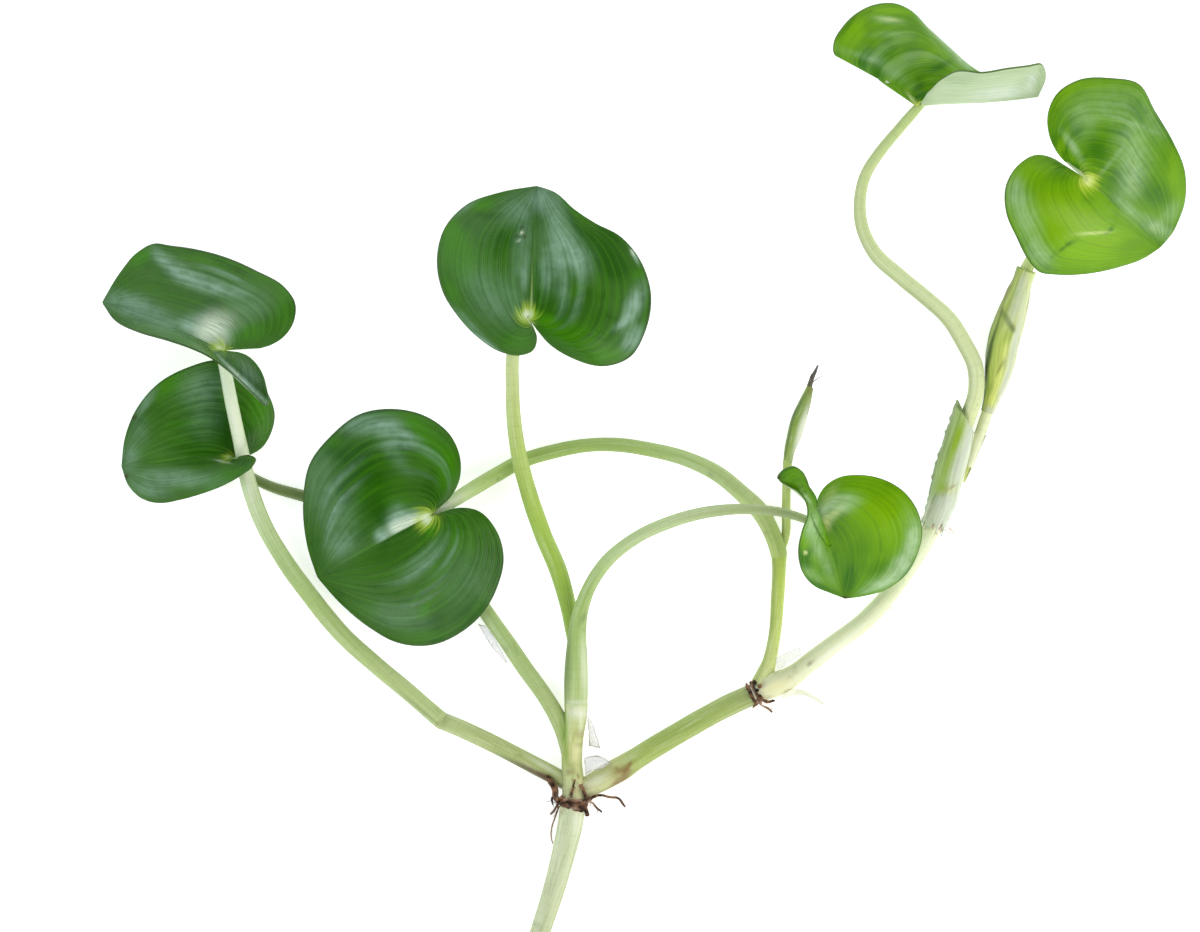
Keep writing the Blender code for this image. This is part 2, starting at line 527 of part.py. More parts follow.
def make_root_tuft(name, tuft, material):
    """Collar with its root strands fused to it."""
    collar = to_object(name, tube_mesh(tuft["collar"], STEM_SIDES, ROOT_ROW_LENGTH), material)
    heart = np.array(tuft["collar"], float)[:, :3].mean(axis=0)
    strands = bmesh.new()
    for points in tuft["strands"]:
        root = heart + (np.array(points[0]) - heart) / 2
        reach = [tuple(root)] + points
        radii = np.linspace(ROOT_RADIUS, ROOT_TIP_RADIUS, len(reach))
        path = [(*point, radius) for point, radius in zip(reach, radii)]
        strand = tube_mesh(path, ROOT_SIDES, ROOT_ROW_LENGTH)
        bmesh.ops.recalc_face_normals(strand, faces=strand.faces)
        mesh = bpy.data.meshes.new(name + "_strand")
        strand.to_mesh(mesh)
        strand.free()
        strands.from_mesh(mesh)
        bpy.data.meshes.remove(mesh)
    helper = to_object(name + "_strands", strands, material)
    helper.hide_render = True
    helper.display_type = "WIRE"
    fuse = collar.modifiers.new("Fuse strands", "BOOLEAN")
    fuse.operation = "UNION"
    fuse.object = helper
    fuse.use_self = True
    return collar


def build():
    """Model the whole plant."""
    clear_scene()
    stem_green = finish("stem_green", linear(182, 200, 132), 0.5)
    stalk_green = finish("stalk_green", linear(178, 202, 118), 0.45)
    blade_dark = finish("blade_dark", linear(58, 112, 44), 0.35)
    blade_bright = finish("blade_bright", linear(112, 170, 26), 0.35)
    sheath_green = finish("sheath_green", linear(160, 192, 92), 0.5)
    root_brown = finish("root_brown", linear(92, 66, 48), 0.8)
    root_pink = finish("root_pink", linear(206, 178, 158), 0.7)
    dry_skin = finish("dry_skin", linear(226, 224, 208), 0.6)
    withered = finish("withered", linear(110, 98, 84), 0.85)
    leaf_finish = {"leaf_folded": blade_bright, "leaf_top": blade_bright, "leaf_right": blade_bright}
    flower_finish = {"flower_withered": withered}
    tuft_finish = {"root_tuft_upper": root_pink}
    for name, path in STEMS.items():
        make_stem(name, path, stem_green)
    for name, path in PETIOLES.items():
        make_stem(name, path, stalk_green)
    for name, path in FLOWER_PARTS.items():
        make_stem(name, path, flower_finish.get(name, sheath_green))
    make_stem("bract_small", BRACT, sheath_green)
    for name, leaf in LEAVES.items():
        make_leaf(name, leaf, leaf_finish.get(name, blade_dark))
    for name, sheath in SHEATHS.items():
        make_sheath(name, sheath, sheath_green)
    for name, tuft in ROOT_TUFTS.items():
        make_root_tuft(name, tuft, tuft_finish.get(name, root_brown))
    for name, edges in MEMBRANES.items():
        make_membrane(name, edges, dry_skin)


build()
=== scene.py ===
"""Mud plantain cutting with seven kidney-shaped leaves, laid flat on a pale table.

Lengths are written in millimetres and turned into metres by MM. The origin lies on the table under
the middle of the plant, +X runs along its longest side and +Z points up.
"""

import logging
import math
from dataclasses import dataclass, field, replace
from enum import Enum
from typing import Callable, Optional, Sequence

import bmesh
import bpy
import numpy as np
from mathutils import Matrix, Vector, noise

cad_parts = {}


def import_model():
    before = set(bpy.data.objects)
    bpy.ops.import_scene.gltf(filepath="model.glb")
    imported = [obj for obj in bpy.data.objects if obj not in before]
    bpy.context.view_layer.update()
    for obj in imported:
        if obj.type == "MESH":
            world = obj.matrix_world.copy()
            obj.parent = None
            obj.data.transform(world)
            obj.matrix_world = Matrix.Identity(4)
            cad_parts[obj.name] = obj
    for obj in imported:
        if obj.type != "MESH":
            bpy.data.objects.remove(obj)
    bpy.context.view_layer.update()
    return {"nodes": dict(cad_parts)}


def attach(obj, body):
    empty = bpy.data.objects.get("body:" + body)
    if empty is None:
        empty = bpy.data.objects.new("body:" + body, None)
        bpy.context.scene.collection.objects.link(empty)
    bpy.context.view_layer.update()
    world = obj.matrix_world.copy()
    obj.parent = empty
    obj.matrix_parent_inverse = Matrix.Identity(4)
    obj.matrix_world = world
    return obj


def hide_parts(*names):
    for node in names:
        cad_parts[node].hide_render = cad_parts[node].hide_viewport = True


LOG = logging.getLogger("mud_plantain")
MM = 0.001
BODY = "root"
TABLE_PRESS = 0.2
ROOT_NOISE_SEED = 1

Colour = tuple[float, float, float]
Point = tuple[float, ...]


def linear(colour: Sequence[float], alpha: float = 1.0) -> tuple[float, float, float, float]:
    """Turn a colour as seen on a screen into the shader's linear colour.

    Args:
        colour: Red, green and blue from 0 to 255.
        alpha: Opacity from 0 to 1.

    Returns:
        Red, green, blue and alpha from 0 to 1.
    """
    share = [level / 255 for level in colour]
    red, green, blue = (s / 12.92 if s <= 0.04045 else ((s + 0.055) / 1.055) ** 2.4 for s in share)
    return red, green, blue, alpha


def smooth(points: Sequence[Point], count: int) -> np.ndarray:
    """Sample the smooth curve through the points at even distances.

    Args:
        points: Points of the curve, each x, y, z and any further values.
        count: Number of samples.

    Returns:
        One row per sample with as many values as a point has.
    """
    knots = np.array(points, float)
    steps = np.linalg.norm(np.diff(knots[:, :3], axis=0), axis=1)
    reach = np.concatenate(([0.0], np.cumsum(steps)))
    slopes = np.gradient(knots, reach, axis=0)
    where = np.linspace(0.0, reach[-1], count)
    index = np.clip(np.searchsorted(reach, where, side="right") - 1, 0, len(steps) - 1)
    span = steps[index][:, None]
    t = (where - reach[index])[:, None] / span
    return (
        (2 * t**3 - 3 * t**2 + 1) * knots[index]
        + (t**3 - 2 * t**2 + t) * span * slopes[index]
        + (3 * t**2 - 2 * t**3) * knots[index + 1]
        + (t**3 - t**2) * span * slopes[index + 1]
    )


def settled(path: Sequence[Point]) -> list[Point]:
    """Lay every point without a height, which is given as x, y and radius, on the table.

    Args:
        path: Points, each x, y, height and radius, or x, y and radius.

    Returns:
        The points, each x, y, height and radius.
    """
    return [
        (x, y, values[0] - TABLE_PRESS, values[0]) if len(values) == 1 else (x, y, *values)
        for x, y, *values in path
    ]


def length(points: Sequence[Point]) -> float:
    """Length of the line through the points, in their own unit."""
    return float(np.linalg.norm(np.diff(np.array(points, float)[:, :3], axis=0), axis=1).sum())


def frames(stations: np.ndarray) -> tuple[np.ndarray, np.ndarray, np.ndarray]:
    """Directions along, to the right of and above a curve that is nowhere upright.

    Args:
        stations: Samples of the curve.

    Returns:
        Three arrays of unit vectors, one row per sample.
    """
    along = np.gradient(stations[:, :3], axis=0)
    along /= np.linalg.norm(along, axis=1)[:, None]
    right = np.cross(along, (0.0, 0.0, 1.0))
    right /= np.linalg.norm(right, axis=1)[:, None]
    return along, right, np.cross(right, along)


def ripple(point: Sequence[float], size: float, seed: float = 0.0) -> float:
    """Smooth unevenness between about -1 and 1.

    Args:
        point: Place in millimetres.
        size: Width of one bump in millimetres.
        seed: Shifts the pattern, so that pieces differ.

    Returns:
        The unevenness at that place.
    """
    return noise.noise(Vector(point) / size + Vector((seed, -seed, 0.5 * seed)))


class Mark(Enum):
    """What a patch on a surface shows."""

    # Pale tissue, and on blades and some stalks painted sheen, glare and highlights
    PALE_AND_SHEEN = "pale"
    DARK = "dark"
    RUST = "rust"
    FRESH = "fresh"
    # Yellow-white marks, and on blades also painted glints
    LEMON = "lemon"

    def patch(self, x: float, y: float, long: float, wide: float, turn: float = 0.0, strength: float = 0.8,
              half: Optional["Half"] = None) -> "Patch":
        """One patch of this kind; see Patch for what the numbers are."""
        return Patch(self, x, y, long, wide, turn, strength, half)

    def streak(self, x: float, y: float, long: float, wide: float, strength: float = 0.6,
               half: Optional["Half"] = None) -> "Patch":
        """One patch of this kind that follows the veins of a blade."""
        return Patch(self, x, y, long, wide, 0.0, strength, half, True)


class Half(Enum):
    """Which half of a blade a patch lies on."""

    FIRST = 1
    SECOND = -1


@dataclass(frozen=True)
class Patch:
    """Soft-edged oval patch on a surface, seen from above.

    Args:
        mark: What the patch shows.
        x: Centre, in millimetres.
        y: Centre, in millimetres.
        long: Half the length, in millimetres, or as a share of the veins' length.
        wide: Half the width, in millimetres, or as a share of a half blade's width.
        turn: Direction of the length, in degrees from +X.
        strength: From 0 to 1.
        half: Half of a blade that carries it, or None for both.
        follow: Whether it runs along the veins.
    """

    mark: Mark
    x: float
    y: float
    long: float
    wide: float
    turn: float = 0.0
    strength: float = 1.0
    half: Optional[Half] = None
    follow: bool = False

    def at(self, spots: np.ndarray, veins: np.ndarray) -> np.ndarray:
        """Strength of the patch at many places.

        Args:
            spots: Places, each x and y in millimetres.
            veins: For each place which vein it lies on, from -1 to 1, and how far along from 0 to 1.

        Returns:
            The strength at each place.
        """
        wrong_half = veins[:, 0] * self.half.value <= 0 if self.half else np.zeros(len(spots), bool)
        dx, dy = spots[:, 0] - self.x, spots[:, 1] - self.y
        if self.follow:
            nearest = int(np.argmin(np.hypot(dx, dy) + 1000.0 * wrong_half))
            a = (veins[:, 1] - veins[nearest, 1]) / self.long
            b = (veins[:, 0] - veins[nearest, 0]) / self.wide
        else:
            angle = math.radians(self.turn)
            a = (dx * math.cos(angle) + dy * math.sin(angle)) / self.long
            b = (dy * math.cos(angle) - dx * math.sin(angle)) / self.wide
        return self.strength * np.exp(-((a * a + b * b) ** 1.3)) * ~wrong_half


class NodeSheet:
    """Small helper that lays out the shader nodes of one material."""

    def __init__(self, name: str) -> None:
        """Open a new material with a plain Principled shader.

        Args:
            name: Name of the material.
        """
        self.material = bpy.data.materials.new(name)
        self.material.use_nodes = True
        self.tree = self.material.node_tree
        self.shader = self.tree.nodes["Principled BSDF"]

    def node(self, kind: str, **settings: object) -> bpy.types.Node:
        """Add a node and set its own properties.

        Args:
            kind: Blender's name of the node type.
            **settings: Properties of the node.

        Returns:
            The new node.
        """
        made = self.tree.nodes.new(kind)
        for name, value in settings.items():
            setattr(made, name, value)
        return made

    def feed(self, socket: bpy.types.NodeSocket, value: object) -> None:
        """Link a socket, or set it to a plain value."""
        if isinstance(value, bpy.types.NodeSocket):
            self.tree.links.new(value, socket)
        else:
            socket.default_value = value

    def math(self, operation: str, *values: object, clamp: bool = False) -> bpy.types.NodeSocket:
        """Result of one calculation.

        Args:
            operation: Blender's name of the calculation.
            *values: Numbers or sockets.
            clamp: Keep the result between 0 and 1.

        Returns:
            The output socket.
        """
        made = self.node("ShaderNodeMath", operation=operation, use_clamp=clamp)
        for socket, value in zip(made.inputs, values):
            self.feed(socket, value)
        return made.outputs[0]

    def remap(self, value: object, low: float, high: float, start: float, end: float) -> bpy.types.NodeSocket:
        """Smoothly take the range low to high to the range start to end."""
        made = self.node("ShaderNodeMapRange", interpolation_type="SMOOTHSTEP")
        for name, given in (
            ("Value", value), ("From Min", low), ("From Max", high), ("To Min", start), ("To Max", end)
        ):
            self.feed(made.inputs[name], given)
        return made.outputs["Result"]

    def blend(self, share: object, first: object, second: object) -> bpy.types.NodeSocket:
        """Mix two colours; share 0 gives the first and 1 the second."""
        made = self.node("ShaderNodeMix", data_type="RGBA", clamp_factor=True)
        self.feed(made.inputs[0], share)
        for socket, colour in zip(made.inputs[6:8], (first, second)):
            self.feed(socket, colour if isinstance(colour, bpy.types.NodeSocket) else linear(colour))
        return made.outputs[2]

    def patches(self, mark: Mark) -> bpy.types.NodeSocket:
        """Strength of the patches of one kind."""
        return self.node("ShaderNodeAttribute", attribute_name=mark.value).outputs["Fac"]

    def paint(self, body: object, mark: Mark, colour: Colour, share: object = None) -> bpy.types.NodeSocket:
        """Lay a colour over the patches of one kind.

        Args:
            body: Colour below.
            mark: Kind of the patches.
            colour: Colour of the patches.
            share: How much of it shows, or None for all.

        Returns:
            The colour socket.
        """
        there = self.patches(mark)
        return self.blend(there if share is None else self.math("MULTIPLY", there, share), body, colour)

    def ramp(self, value: object, stops: Sequence[tuple[float, Colour]]) -> bpy.types.NodeSocket:
        """Colour along a row of stops.

        Args:
            value: Where on the row to read, from 0 to 1.
            stops: Place and colour of each stop.

        Returns:
            The colour socket.
        """
        made = self.node("ShaderNodeValToRGB")
        row = made.color_ramp
        row.interpolation = "B_SPLINE" if len(stops) > 2 else "LINEAR"
        while len(row.elements) > 1:
            row.elements.remove(row.elements[0])
        row.elements[0].position = stops[0][0]
        row.elements[0].color = linear(stops[0][1])
        for place, colour in stops[1:]:
            row.elements.new(place).color = linear(colour)
        self.feed(made.inputs[0], value)
        return made.outputs[0]

    def noise(self, vector: object, scale: float, detail: float = 3.0) -> bpy.types.NodeSocket:
        """Cloudy noise value from 0 to 1."""
        made = self.node("ShaderNodeTexNoise")
        self.feed(made.inputs["Vector"], vector)
        made.inputs["Scale"].default_value = scale
        made.inputs["Detail"].default_value = detail
        return made.outputs["Fac"]

    def place(self) -> bpy.types.NodeSocket:
        """Place on the piece in the plant's own frame."""
        return self.node("ShaderNodeTexCoord").outputs["Object"]

    def sheet_place(self) -> tuple[bpy.types.NodeSocket, bpy.types.NodeSocket]:
        """Both coordinates of the piece's own UV map."""
        made = self.node("ShaderNodeSeparateXYZ")
        self.feed(made.inputs[0], self.node("ShaderNodeUVMap", uv_map="UVMap").outputs[0])
        return made.outputs[0], made.outputs[1]

    def grain(
        self, across: object, along: object, counts: tuple[float, float], detail: float
    ) -> bpy.types.NodeSocket:
        """Noise that is drawn out along the piece.

        Args:
            across: Coordinate across the piece.
            along: Coordinate along the piece.
            counts: How many bumps lie across and along it.
            detail: Detail of the noise.

        Returns:
            The noise value from 0 to 1.
        """
        made = self.node("ShaderNodeCombineXYZ")
        for socket, coordinate, count in zip(made.inputs, (across, along), counts):
            self.feed(socket, self.math("MULTIPLY", coordinate, count))
        return self.noise(made.outputs[0], 1.0, detail)

    def from_middle(self, coordinate: object) -> bpy.types.NodeSocket:
        """Distance from the middle of the piece: 0 there and 1 at either edge."""
        return self.math("ABSOLUTE", self.math("MULTIPLY_ADD", coordinate, 2.0, -1.0))

    def grooves(self, side: object, count: int, core: float, rim: float) -> bpy.types.NodeSocket:
        """Evenly spaced lines, 1 within the core of each and 0 past its rim."""
        return self.remap(self.math("PINGPONG", self.math("MULTIPLY", side, count), 0.5), core, rim, 1.0, 0.0)

    def bump(self, height: object, depth: float) -> None:
        """Raise the surface by the height, where 1 is the depth in millimetres."""
        made = self.node("ShaderNodeBump")
        made.inputs["Distance"].default_value = depth * MM
        made.inputs["Strength"].default_value = 1.0
        self.feed(made.inputs["Height"], height)
        self.feed(self.shader.inputs["Normal"], made.outputs[0])

    def set(self, **values: object) -> None:
        """Set or link inputs of the shader; an underscore stands for a space."""
        for name, value in values.items():
            self.feed(self.shader.inputs[name.replace("_", " ")], value)


VEINS_PER_HALF = 11
FINE_VEINS = 4
VEIN_STREAKS = (70.0, 2.5)
VEIN_THREADS = (190.0, 7.0)
VEIN_LINES = (54.0, 1.4)
STALK_STREAKS = (30.0, 5.0)
SHEATH_STREAKS = (26.0, 2.0)
FILM_WRINKLES = (5.0, 3.0)


@dataclass(frozen=True)
class BladeFinish:
    """Waxy leaf blade with veins that run from its foot to its tip, and painted sheen and glints on its wax.

    Args:
        name: Which side of which kind of leaf it is.
        deep: Darkest green.
        middle: Usual green.
        fresh: Brightest green.
        pale: Colour of the painted sheen and glare patches.
        star: Colour of the star where the stalk meets the blade.
        lemon: Colour of the star's heart and of bright marks, among them painted glints.
        rib: Colour of the midrib near the foot.
        edge: Colour of the thin margin line.
        rust: Colour of withered patches.
        lines: How strongly the veins are drawn.
        roughness: Roughness of the wax.
        gloss: Specular level of the wax.
    """

    name: str
    deep: Colour
    middle: Colour
    fresh: Colour
    pale: Colour = (158, 186, 166)
    star: Colour = (176, 204, 62)
    lemon: Colour = (224, 236, 176)
    rib: Colour = (188, 212, 132)
    edge: Colour = (58, 78, 42)
    rust: Colour = (58, 52, 30)
    lines: float = 0.34
    roughness: float = 0.28
    gloss: float = 0.2

    def make(self, node: str, foot: Point, star_reach: float, midrib: float) -> bpy.types.Material:
        """Build the material.

        Args:
            node: Blade that it is for.
            foot: Where the stalk meets the blade, in millimetres.
            star_reach: Radius of the star round the foot, in millimetres.
            midrib: How strongly the pale midrib shows.

        Returns:
            The material.
        """
        sheet = NodeSheet(f"{node}_{self.name}")
        across, along = sheet.sheet_place()
        place = sheet.place()
        side = sheet.from_middle(across)
        streaks = sheet.grain(across, along, VEIN_STREAKS, 4.0)
        threads = sheet.grain(across, along, VEIN_THREADS, 3.0)
        clouds = sheet.noise(place, 110.0, 3.0)
        cells = sheet.noise(place, 1500.0, 2.0)
        tone = sheet.math("ADD", sheet.math("MULTIPLY", streaks, 0.35), sheet.math("MULTIPLY", clouds, 0.65))
        body = sheet.blend(sheet.remap(tone, 0.34, 0.52, 0.0, 1.0), self.deep, self.middle)
        body = sheet.blend(sheet.remap(tone, 0.52, 0.72, 0.0, 0.6), body, self.fresh)
        body = sheet.paint(body, Mark.FRESH, self.fresh)
        body = sheet.paint(body, Mark.DARK, self.deep)
        main_vein = sheet.grooves(side, VEINS_PER_HALF, 0.02, 0.16)
        fine_vein = sheet.grooves(side, VEINS_PER_HALF * FINE_VEINS, 0.05, 0.4)
        broken = sheet.remap(streaks, 0.35, 0.65, 0.2, 1.0)
        lines = sheet.grain(across, along, VEIN_LINES, 1.0)
        body = sheet.blend(sheet.remap(lines, 0.5, 0.66, 0.0, self.lines), body, self.deep)
        body = sheet.blend(sheet.remap(lines, 0.48, 0.34, 0.0, self.lines), body, self.fresh)
        body = sheet.blend(sheet.math("MULTIPLY", fine_vein, sheet.math("MULTIPLY", broken, 0.2)), body,
                           self.deep)
        mottle = sheet.noise(place, 500.0, 3.0)
        sheen = sheet.math("MULTIPLY_ADD", lines, -0.6, sheet.math("MULTIPLY_ADD", mottle, 0.5, 0.55))
        sheen = sheet.remap(sheen, 0.36, 0.64, 0.5, 1.0)
        # Painted sheen and glare: the pale patches, broken up along the veins
        body = sheet.paint(body, Mark.PALE_AND_SHEEN, self.pale, sheen)
        rib = sheet.remap(sheet.math("MULTIPLY_ADD", along, 0.06, side), 0.01, 0.046, 0.85, 0.0)
        body = sheet.blend(sheet.math("MULTIPLY", rib, midrib), body, self.rib)
        # Yellow-white patches: painted glints, and yellow marks of the leaf itself
        body = sheet.paint(body, Mark.LEMON, self.lemon, sheet.remap(threads, 0.36, 0.6, 0.45, 1.0))
        away = sheet.node("ShaderNodeVectorMath", operation="DISTANCE")
        sheet.feed(away.inputs[0], place)
        away.inputs[1].default_value = Vector(foot) * MM
        rays = sheet.remap(streaks, 0.34, 0.66, 0.62, 1.25)
        ray = sheet.math("DIVIDE", away.outputs["Value"], rays)
        ring = sheet.remap(ray, 0.0, star_reach * MM, 1.0, 0.0)
        body = sheet.blend(ring, body, self.star)
        body = sheet.blend(sheet.remap(ray, 0.0, 0.5 * star_reach * MM, 0.85, 0.0), body, self.lemon)
        body = sheet.paint(body, Mark.RUST, self.rust)
        rim = sheet.remap(side, 0.982, 0.995, 0.0, 0.7)
        rim = sheet.math("MULTIPLY", rim, sheet.remap(along, 0.02, 0.1, 0.0, 1.0))
        body = sheet.blend(rim, body, self.edge)
        rough = sheet.math("ADD", sheet.math("MULTIPLY", clouds, 0.16), self.roughness - 0.08)
        sheet.set(Base_Color=body, Roughness=rough, Specular_IOR_Level=self.gloss)
        relief = sheet.math("MULTIPLY_ADD", main_vein, -0.3, sheet.math("MULTIPLY", fine_vein, -0.3))
        relief = sheet.math("ADD", relief, sheet.math("MULTIPLY", cells, 0.3))
        relief = sheet.math("ADD", relief, sheet.math("MULTIPLY", threads, 0.5))
        sheet.bump(relief, 0.04)
        return sheet.material


@dataclass(frozen=True)
class StalkFinish:
    """Juicy stem with fine ribs and cross walls, its colours given along its length, with painted shade on
    its flanks and underside and a painted lit top.

    Args:
        tints: Place from 0 to 1 along the stem, and the colour there.
        rim: Colour of the painted shade on its flanks and underside, also of its cross walls and darker
            streaks.
        flank_shade_share: How strongly the painted shade shows on the flanks.
        core: Where the painted lit top runs; 0.25 is the top and less is further to the right.
        pale: Colour of light streaks and of pale patches, some of them painted highlights.
        dark: Colour of dark blotches and of dark patches, some of them painted shade.
        rust: Colour of withered patches.
        fresh: Colour of fresh green patches.
        lemon: Colour of yellow patches.
        roughness: Roughness of the skin.
        glow: Share of light that spreads under the skin.
    """

    tints: tuple[tuple[float, Colour], ...]
    rim: Colour = (128, 144, 84)
    flank_shade_share: float = 0.5
    core: float = 0.25
    pale: Colour = (240, 244, 222)
    dark: Colour = (92, 112, 58)
    rust: Colour = (140, 112, 64)
    fresh: Colour = (128, 166, 48)
    lemon: Colour = (238, 236, 178)
    roughness: float = 0.42
    glow: float = 0.12

    def make(self, name: str, walls: float) -> bpy.types.Material:
        """Build the material.

        Args:
            name: Name of the material.
            walls: Number of cross walls along the stem.

        Returns:
            The material.
        """
        sheet = NodeSheet(name)
        across, along = sheet.sheet_place()
        place = sheet.place()
        streaks = sheet.grain(across, along, STALK_STREAKS, 3.0)
        blotches = sheet.noise(place, 260.0, 3.0)
        grit = sheet.noise(place, 1400.0, 2.0)
        body = sheet.ramp(along, self.tints)
        light = sheet.remap(streaks, 0.5, 0.72, 0.0, 0.22)
        body = sheet.blend(light, body, self.pale)
        shade = sheet.remap(streaks, 0.5, 0.3, 0.0, 0.22)
        body = sheet.blend(shade, body, self.rim)
        # Painted light and shade: lighter where core points, the rim colour on the flanks and underside
        turned = sheet.math("MULTIPLY_ADD", across, 2 * math.pi, -2 * math.pi * self.core)
        lit_crest = sheet.math("COSINE", turned)
        body = sheet.blend(sheet.remap(lit_crest, 0.8, 0.05, 0.0, self.flank_shade_share), body, self.rim)
        step = sheet.math("MULTIPLY_ADD", blotches, 0.5, sheet.math("MULTIPLY", along, walls))
        wall = sheet.remap(sheet.math("PINGPONG", step, 0.5), 0.0, 0.14, 0.16, 0.0)
        wall = sheet.math("MULTIPLY", wall, sheet.remap(grit, 0.4, 0.6, 0.1, 1.0))
        body = sheet.blend(wall, body, self.rim)
        body = sheet.blend(sheet.remap(blotches, 0.62, 0.75, 0.0, 0.2), body, self.dark)
        body = sheet.paint(body, Mark.FRESH, self.fresh)
        # Dark and pale patches: marks of the stem, and on some stalks painted shade and highlights
        body = sheet.paint(body, Mark.DARK, self.dark)
        body = sheet.paint(body, Mark.PALE_AND_SHEEN, self.pale)
        body = sheet.paint(body, Mark.LEMON, self.lemon)
        grain = sheet.remap(blotches, 0.3, 0.6, 0.35, 1.0)
        body = sheet.paint(body, Mark.RUST, self.rust, grain)
        rough = sheet.math("MULTIPLY_ADD", blotches, 0.16, self.roughness - 0.08)
        sheet.set(Base_Color=body, Roughness=rough, Specular_IOR_Level=0.35, Subsurface_Weight=self.glow,
                  Subsurface_Radius=(1.0, 1.2, 0.5), Subsurface_Scale=1.2 * MM)
        relief = sheet.math("ADD", streaks, sheet.math("MULTIPLY", blotches, 0.4))
        sheet.bump(sheet.math("ADD", relief, sheet.math("MULTIPLY", wall, -0.6)), 0.09)
        return sheet.material


@dataclass(frozen=True)
class SheathFinish:
    """Thin leaf tissue that changes colour from one of its edges to the other.

    Args:
        tints: Place from 0 to 1 between the edges, and the colour there.
        least: Opacity where the tissue is thinnest.
        dark: Colour of the painted shade in its creases and of dark patches.
        fresh: Colour of fresh green patches.
        pale: Colour of pale patches.
        lemon: Colour of yellow patches.
        rust: Colour of withered patches.
        roughness: Roughness of the skin.
    """

    tints: tuple[tuple[float, Colour], ...]
    least: float = 0.82
    dark: Colour = (74, 96, 34)
    fresh: Colour = (150, 182, 44)
    pale: Colour = (232, 240, 220)
    lemon: Colour = (226, 234, 120)
    rust: Colour = (150, 128, 92)
    roughness: float = 0.4

    def make(self, name: str) -> bpy.types.Material:
        """Build the material under this name."""
        sheet = NodeSheet(name)
        across, along = sheet.sheet_place()
        place = sheet.place()
        streaks = sheet.grain(across, along, SHEATH_STREAKS, 4.0)
        blotches = sheet.noise(place, 420.0, 3.0)
        body = sheet.ramp(across, self.tints)
        body = sheet.blend(sheet.remap(streaks, 0.52, 0.72, 0.0, 0.35), body, self.pale)
        # Painted shade in the creases, where the streaks sink
        body = sheet.blend(sheet.remap(streaks, 0.48, 0.3, 0.0, 0.3), body, self.dark)
        body = sheet.paint(body, Mark.FRESH, self.fresh)
        body = sheet.paint(body, Mark.PALE_AND_SHEEN, self.pale)
        body = sheet.paint(body, Mark.LEMON, self.lemon)
        body = sheet.paint(body, Mark.DARK, self.dark)
        grain = sheet.remap(blotches, 0.3, 0.6, 0.4, 1.0)
        body = sheet.paint(body, Mark.RUST, self.rust, grain)
        opacity = sheet.remap(streaks, 0.3, 0.6, self.least, 1.0)
        opacity = sheet.math("SUBTRACT", opacity, sheet.math("MULTIPLY", sheet.patches(Mark.PALE_AND_SHEEN), 0.4))
        opacity = sheet.math("ADD", opacity, sheet.patches(Mark.DARK), clamp=True)
        sheet.set(Base_Color=body, Alpha=opacity, Roughness=self.roughness, Specular_IOR_Level=0.35)
        sheet.bump(sheet.math("ADD", streaks, sheet.math("MULTIPLY", blotches, 0.5)), 0.12)
        return sheet.material


@dataclass(frozen=True)
class FilmFinish:
    """Dry skin, nearly clear, with thicker edges.

    Args:
        name: Name of the material.
        fill: Colour of the skin.
        edge: Colour of its edges.
        fill_opacity: Opacity of the skin.
        edge_opacity: Opacity of its edges.
    """

    name: str
    fill: Colour = (226, 224, 226)
    edge: Colour = (140, 136, 128)
    fill_opacity: float = 0.34
    edge_opacity: float = 0.7

    def make(self) -> bpy.types.Material:
        """Build the material."""
        sheet = NodeSheet(self.name)
        across, along = sheet.sheet_place()
        wrinkles = sheet.grain(across, along, FILM_WRINKLES, 3.0)
        side = sheet.from_middle(across)
        end = sheet.from_middle(along)
        side_edge = sheet.remap(side, 0.72, 0.98, 0.0, 1.0)
        edge = sheet.math("MAXIMUM", side_edge, sheet.remap(end, 0.9, 0.99, 0.0, 1.0))
        edge = sheet.math("MULTIPLY", edge, sheet.remap(wrinkles, 0.35, 0.6, 0.35, 1.0))
        body = sheet.blend(edge, self.fill, self.edge)
        opacity = sheet.math("MULTIPLY_ADD", edge, self.edge_opacity - self.fill_opacity, self.fill_opacity)
        opacity = sheet.math("ADD", opacity, sheet.remap(wrinkles, 0.5, 0.7, 0.0, 0.15), clamp=True)
        sheet.set(Base_Color=body, Alpha=opacity, Roughness=0.5, Specular_IOR_Level=0.3)
        sheet.bump(wrinkles, 0.1)
        return sheet.material


@dataclass(frozen=True)
class RootFinish:
    """Dull fibrous root.

    Args:
        name: Name of the material.
        dark: Colour of the hollows.
        light: Colour of the ridges.
        blush: Colour of pale patches.
    """

    name: str
    dark: Colour
    light: Colour
    blush: Colour = (198, 168, 148)

    def make(self) -> bpy.types.Material:
        """Build the material."""
        sheet = NodeSheet(self.name)
        place = sheet.place()
        coarse = sheet.noise(place, 700.0, 4.0)
        fine = sheet.noise(place, 3200.0, 2.0)
        body = sheet.blend(sheet.remap(coarse, 0.38, 0.62, 0.0, 1.0), self.dark, self.light)
        body = sheet.paint(body, Mark.PALE_AND_SHEEN, self.blush)
        sheet.set(Base_Color=body, Roughness=sheet.remap(fine, 0.3, 0.7, 0.6, 0.9), Specular_IOR_Level=0.2)
        sheet.bump(sheet.math("ADD", coarse, sheet.math("MULTIPLY", fine, 0.5)), 0.12)
        return sheet.material


COLUMNS_PER_VEIN = 6
BLADE_ROWS = 96
BLADE_THICKNESS = 0.36
LONG_RAY = 20.0
VEIN_GROOVE = 0.16
WELD = 0.001


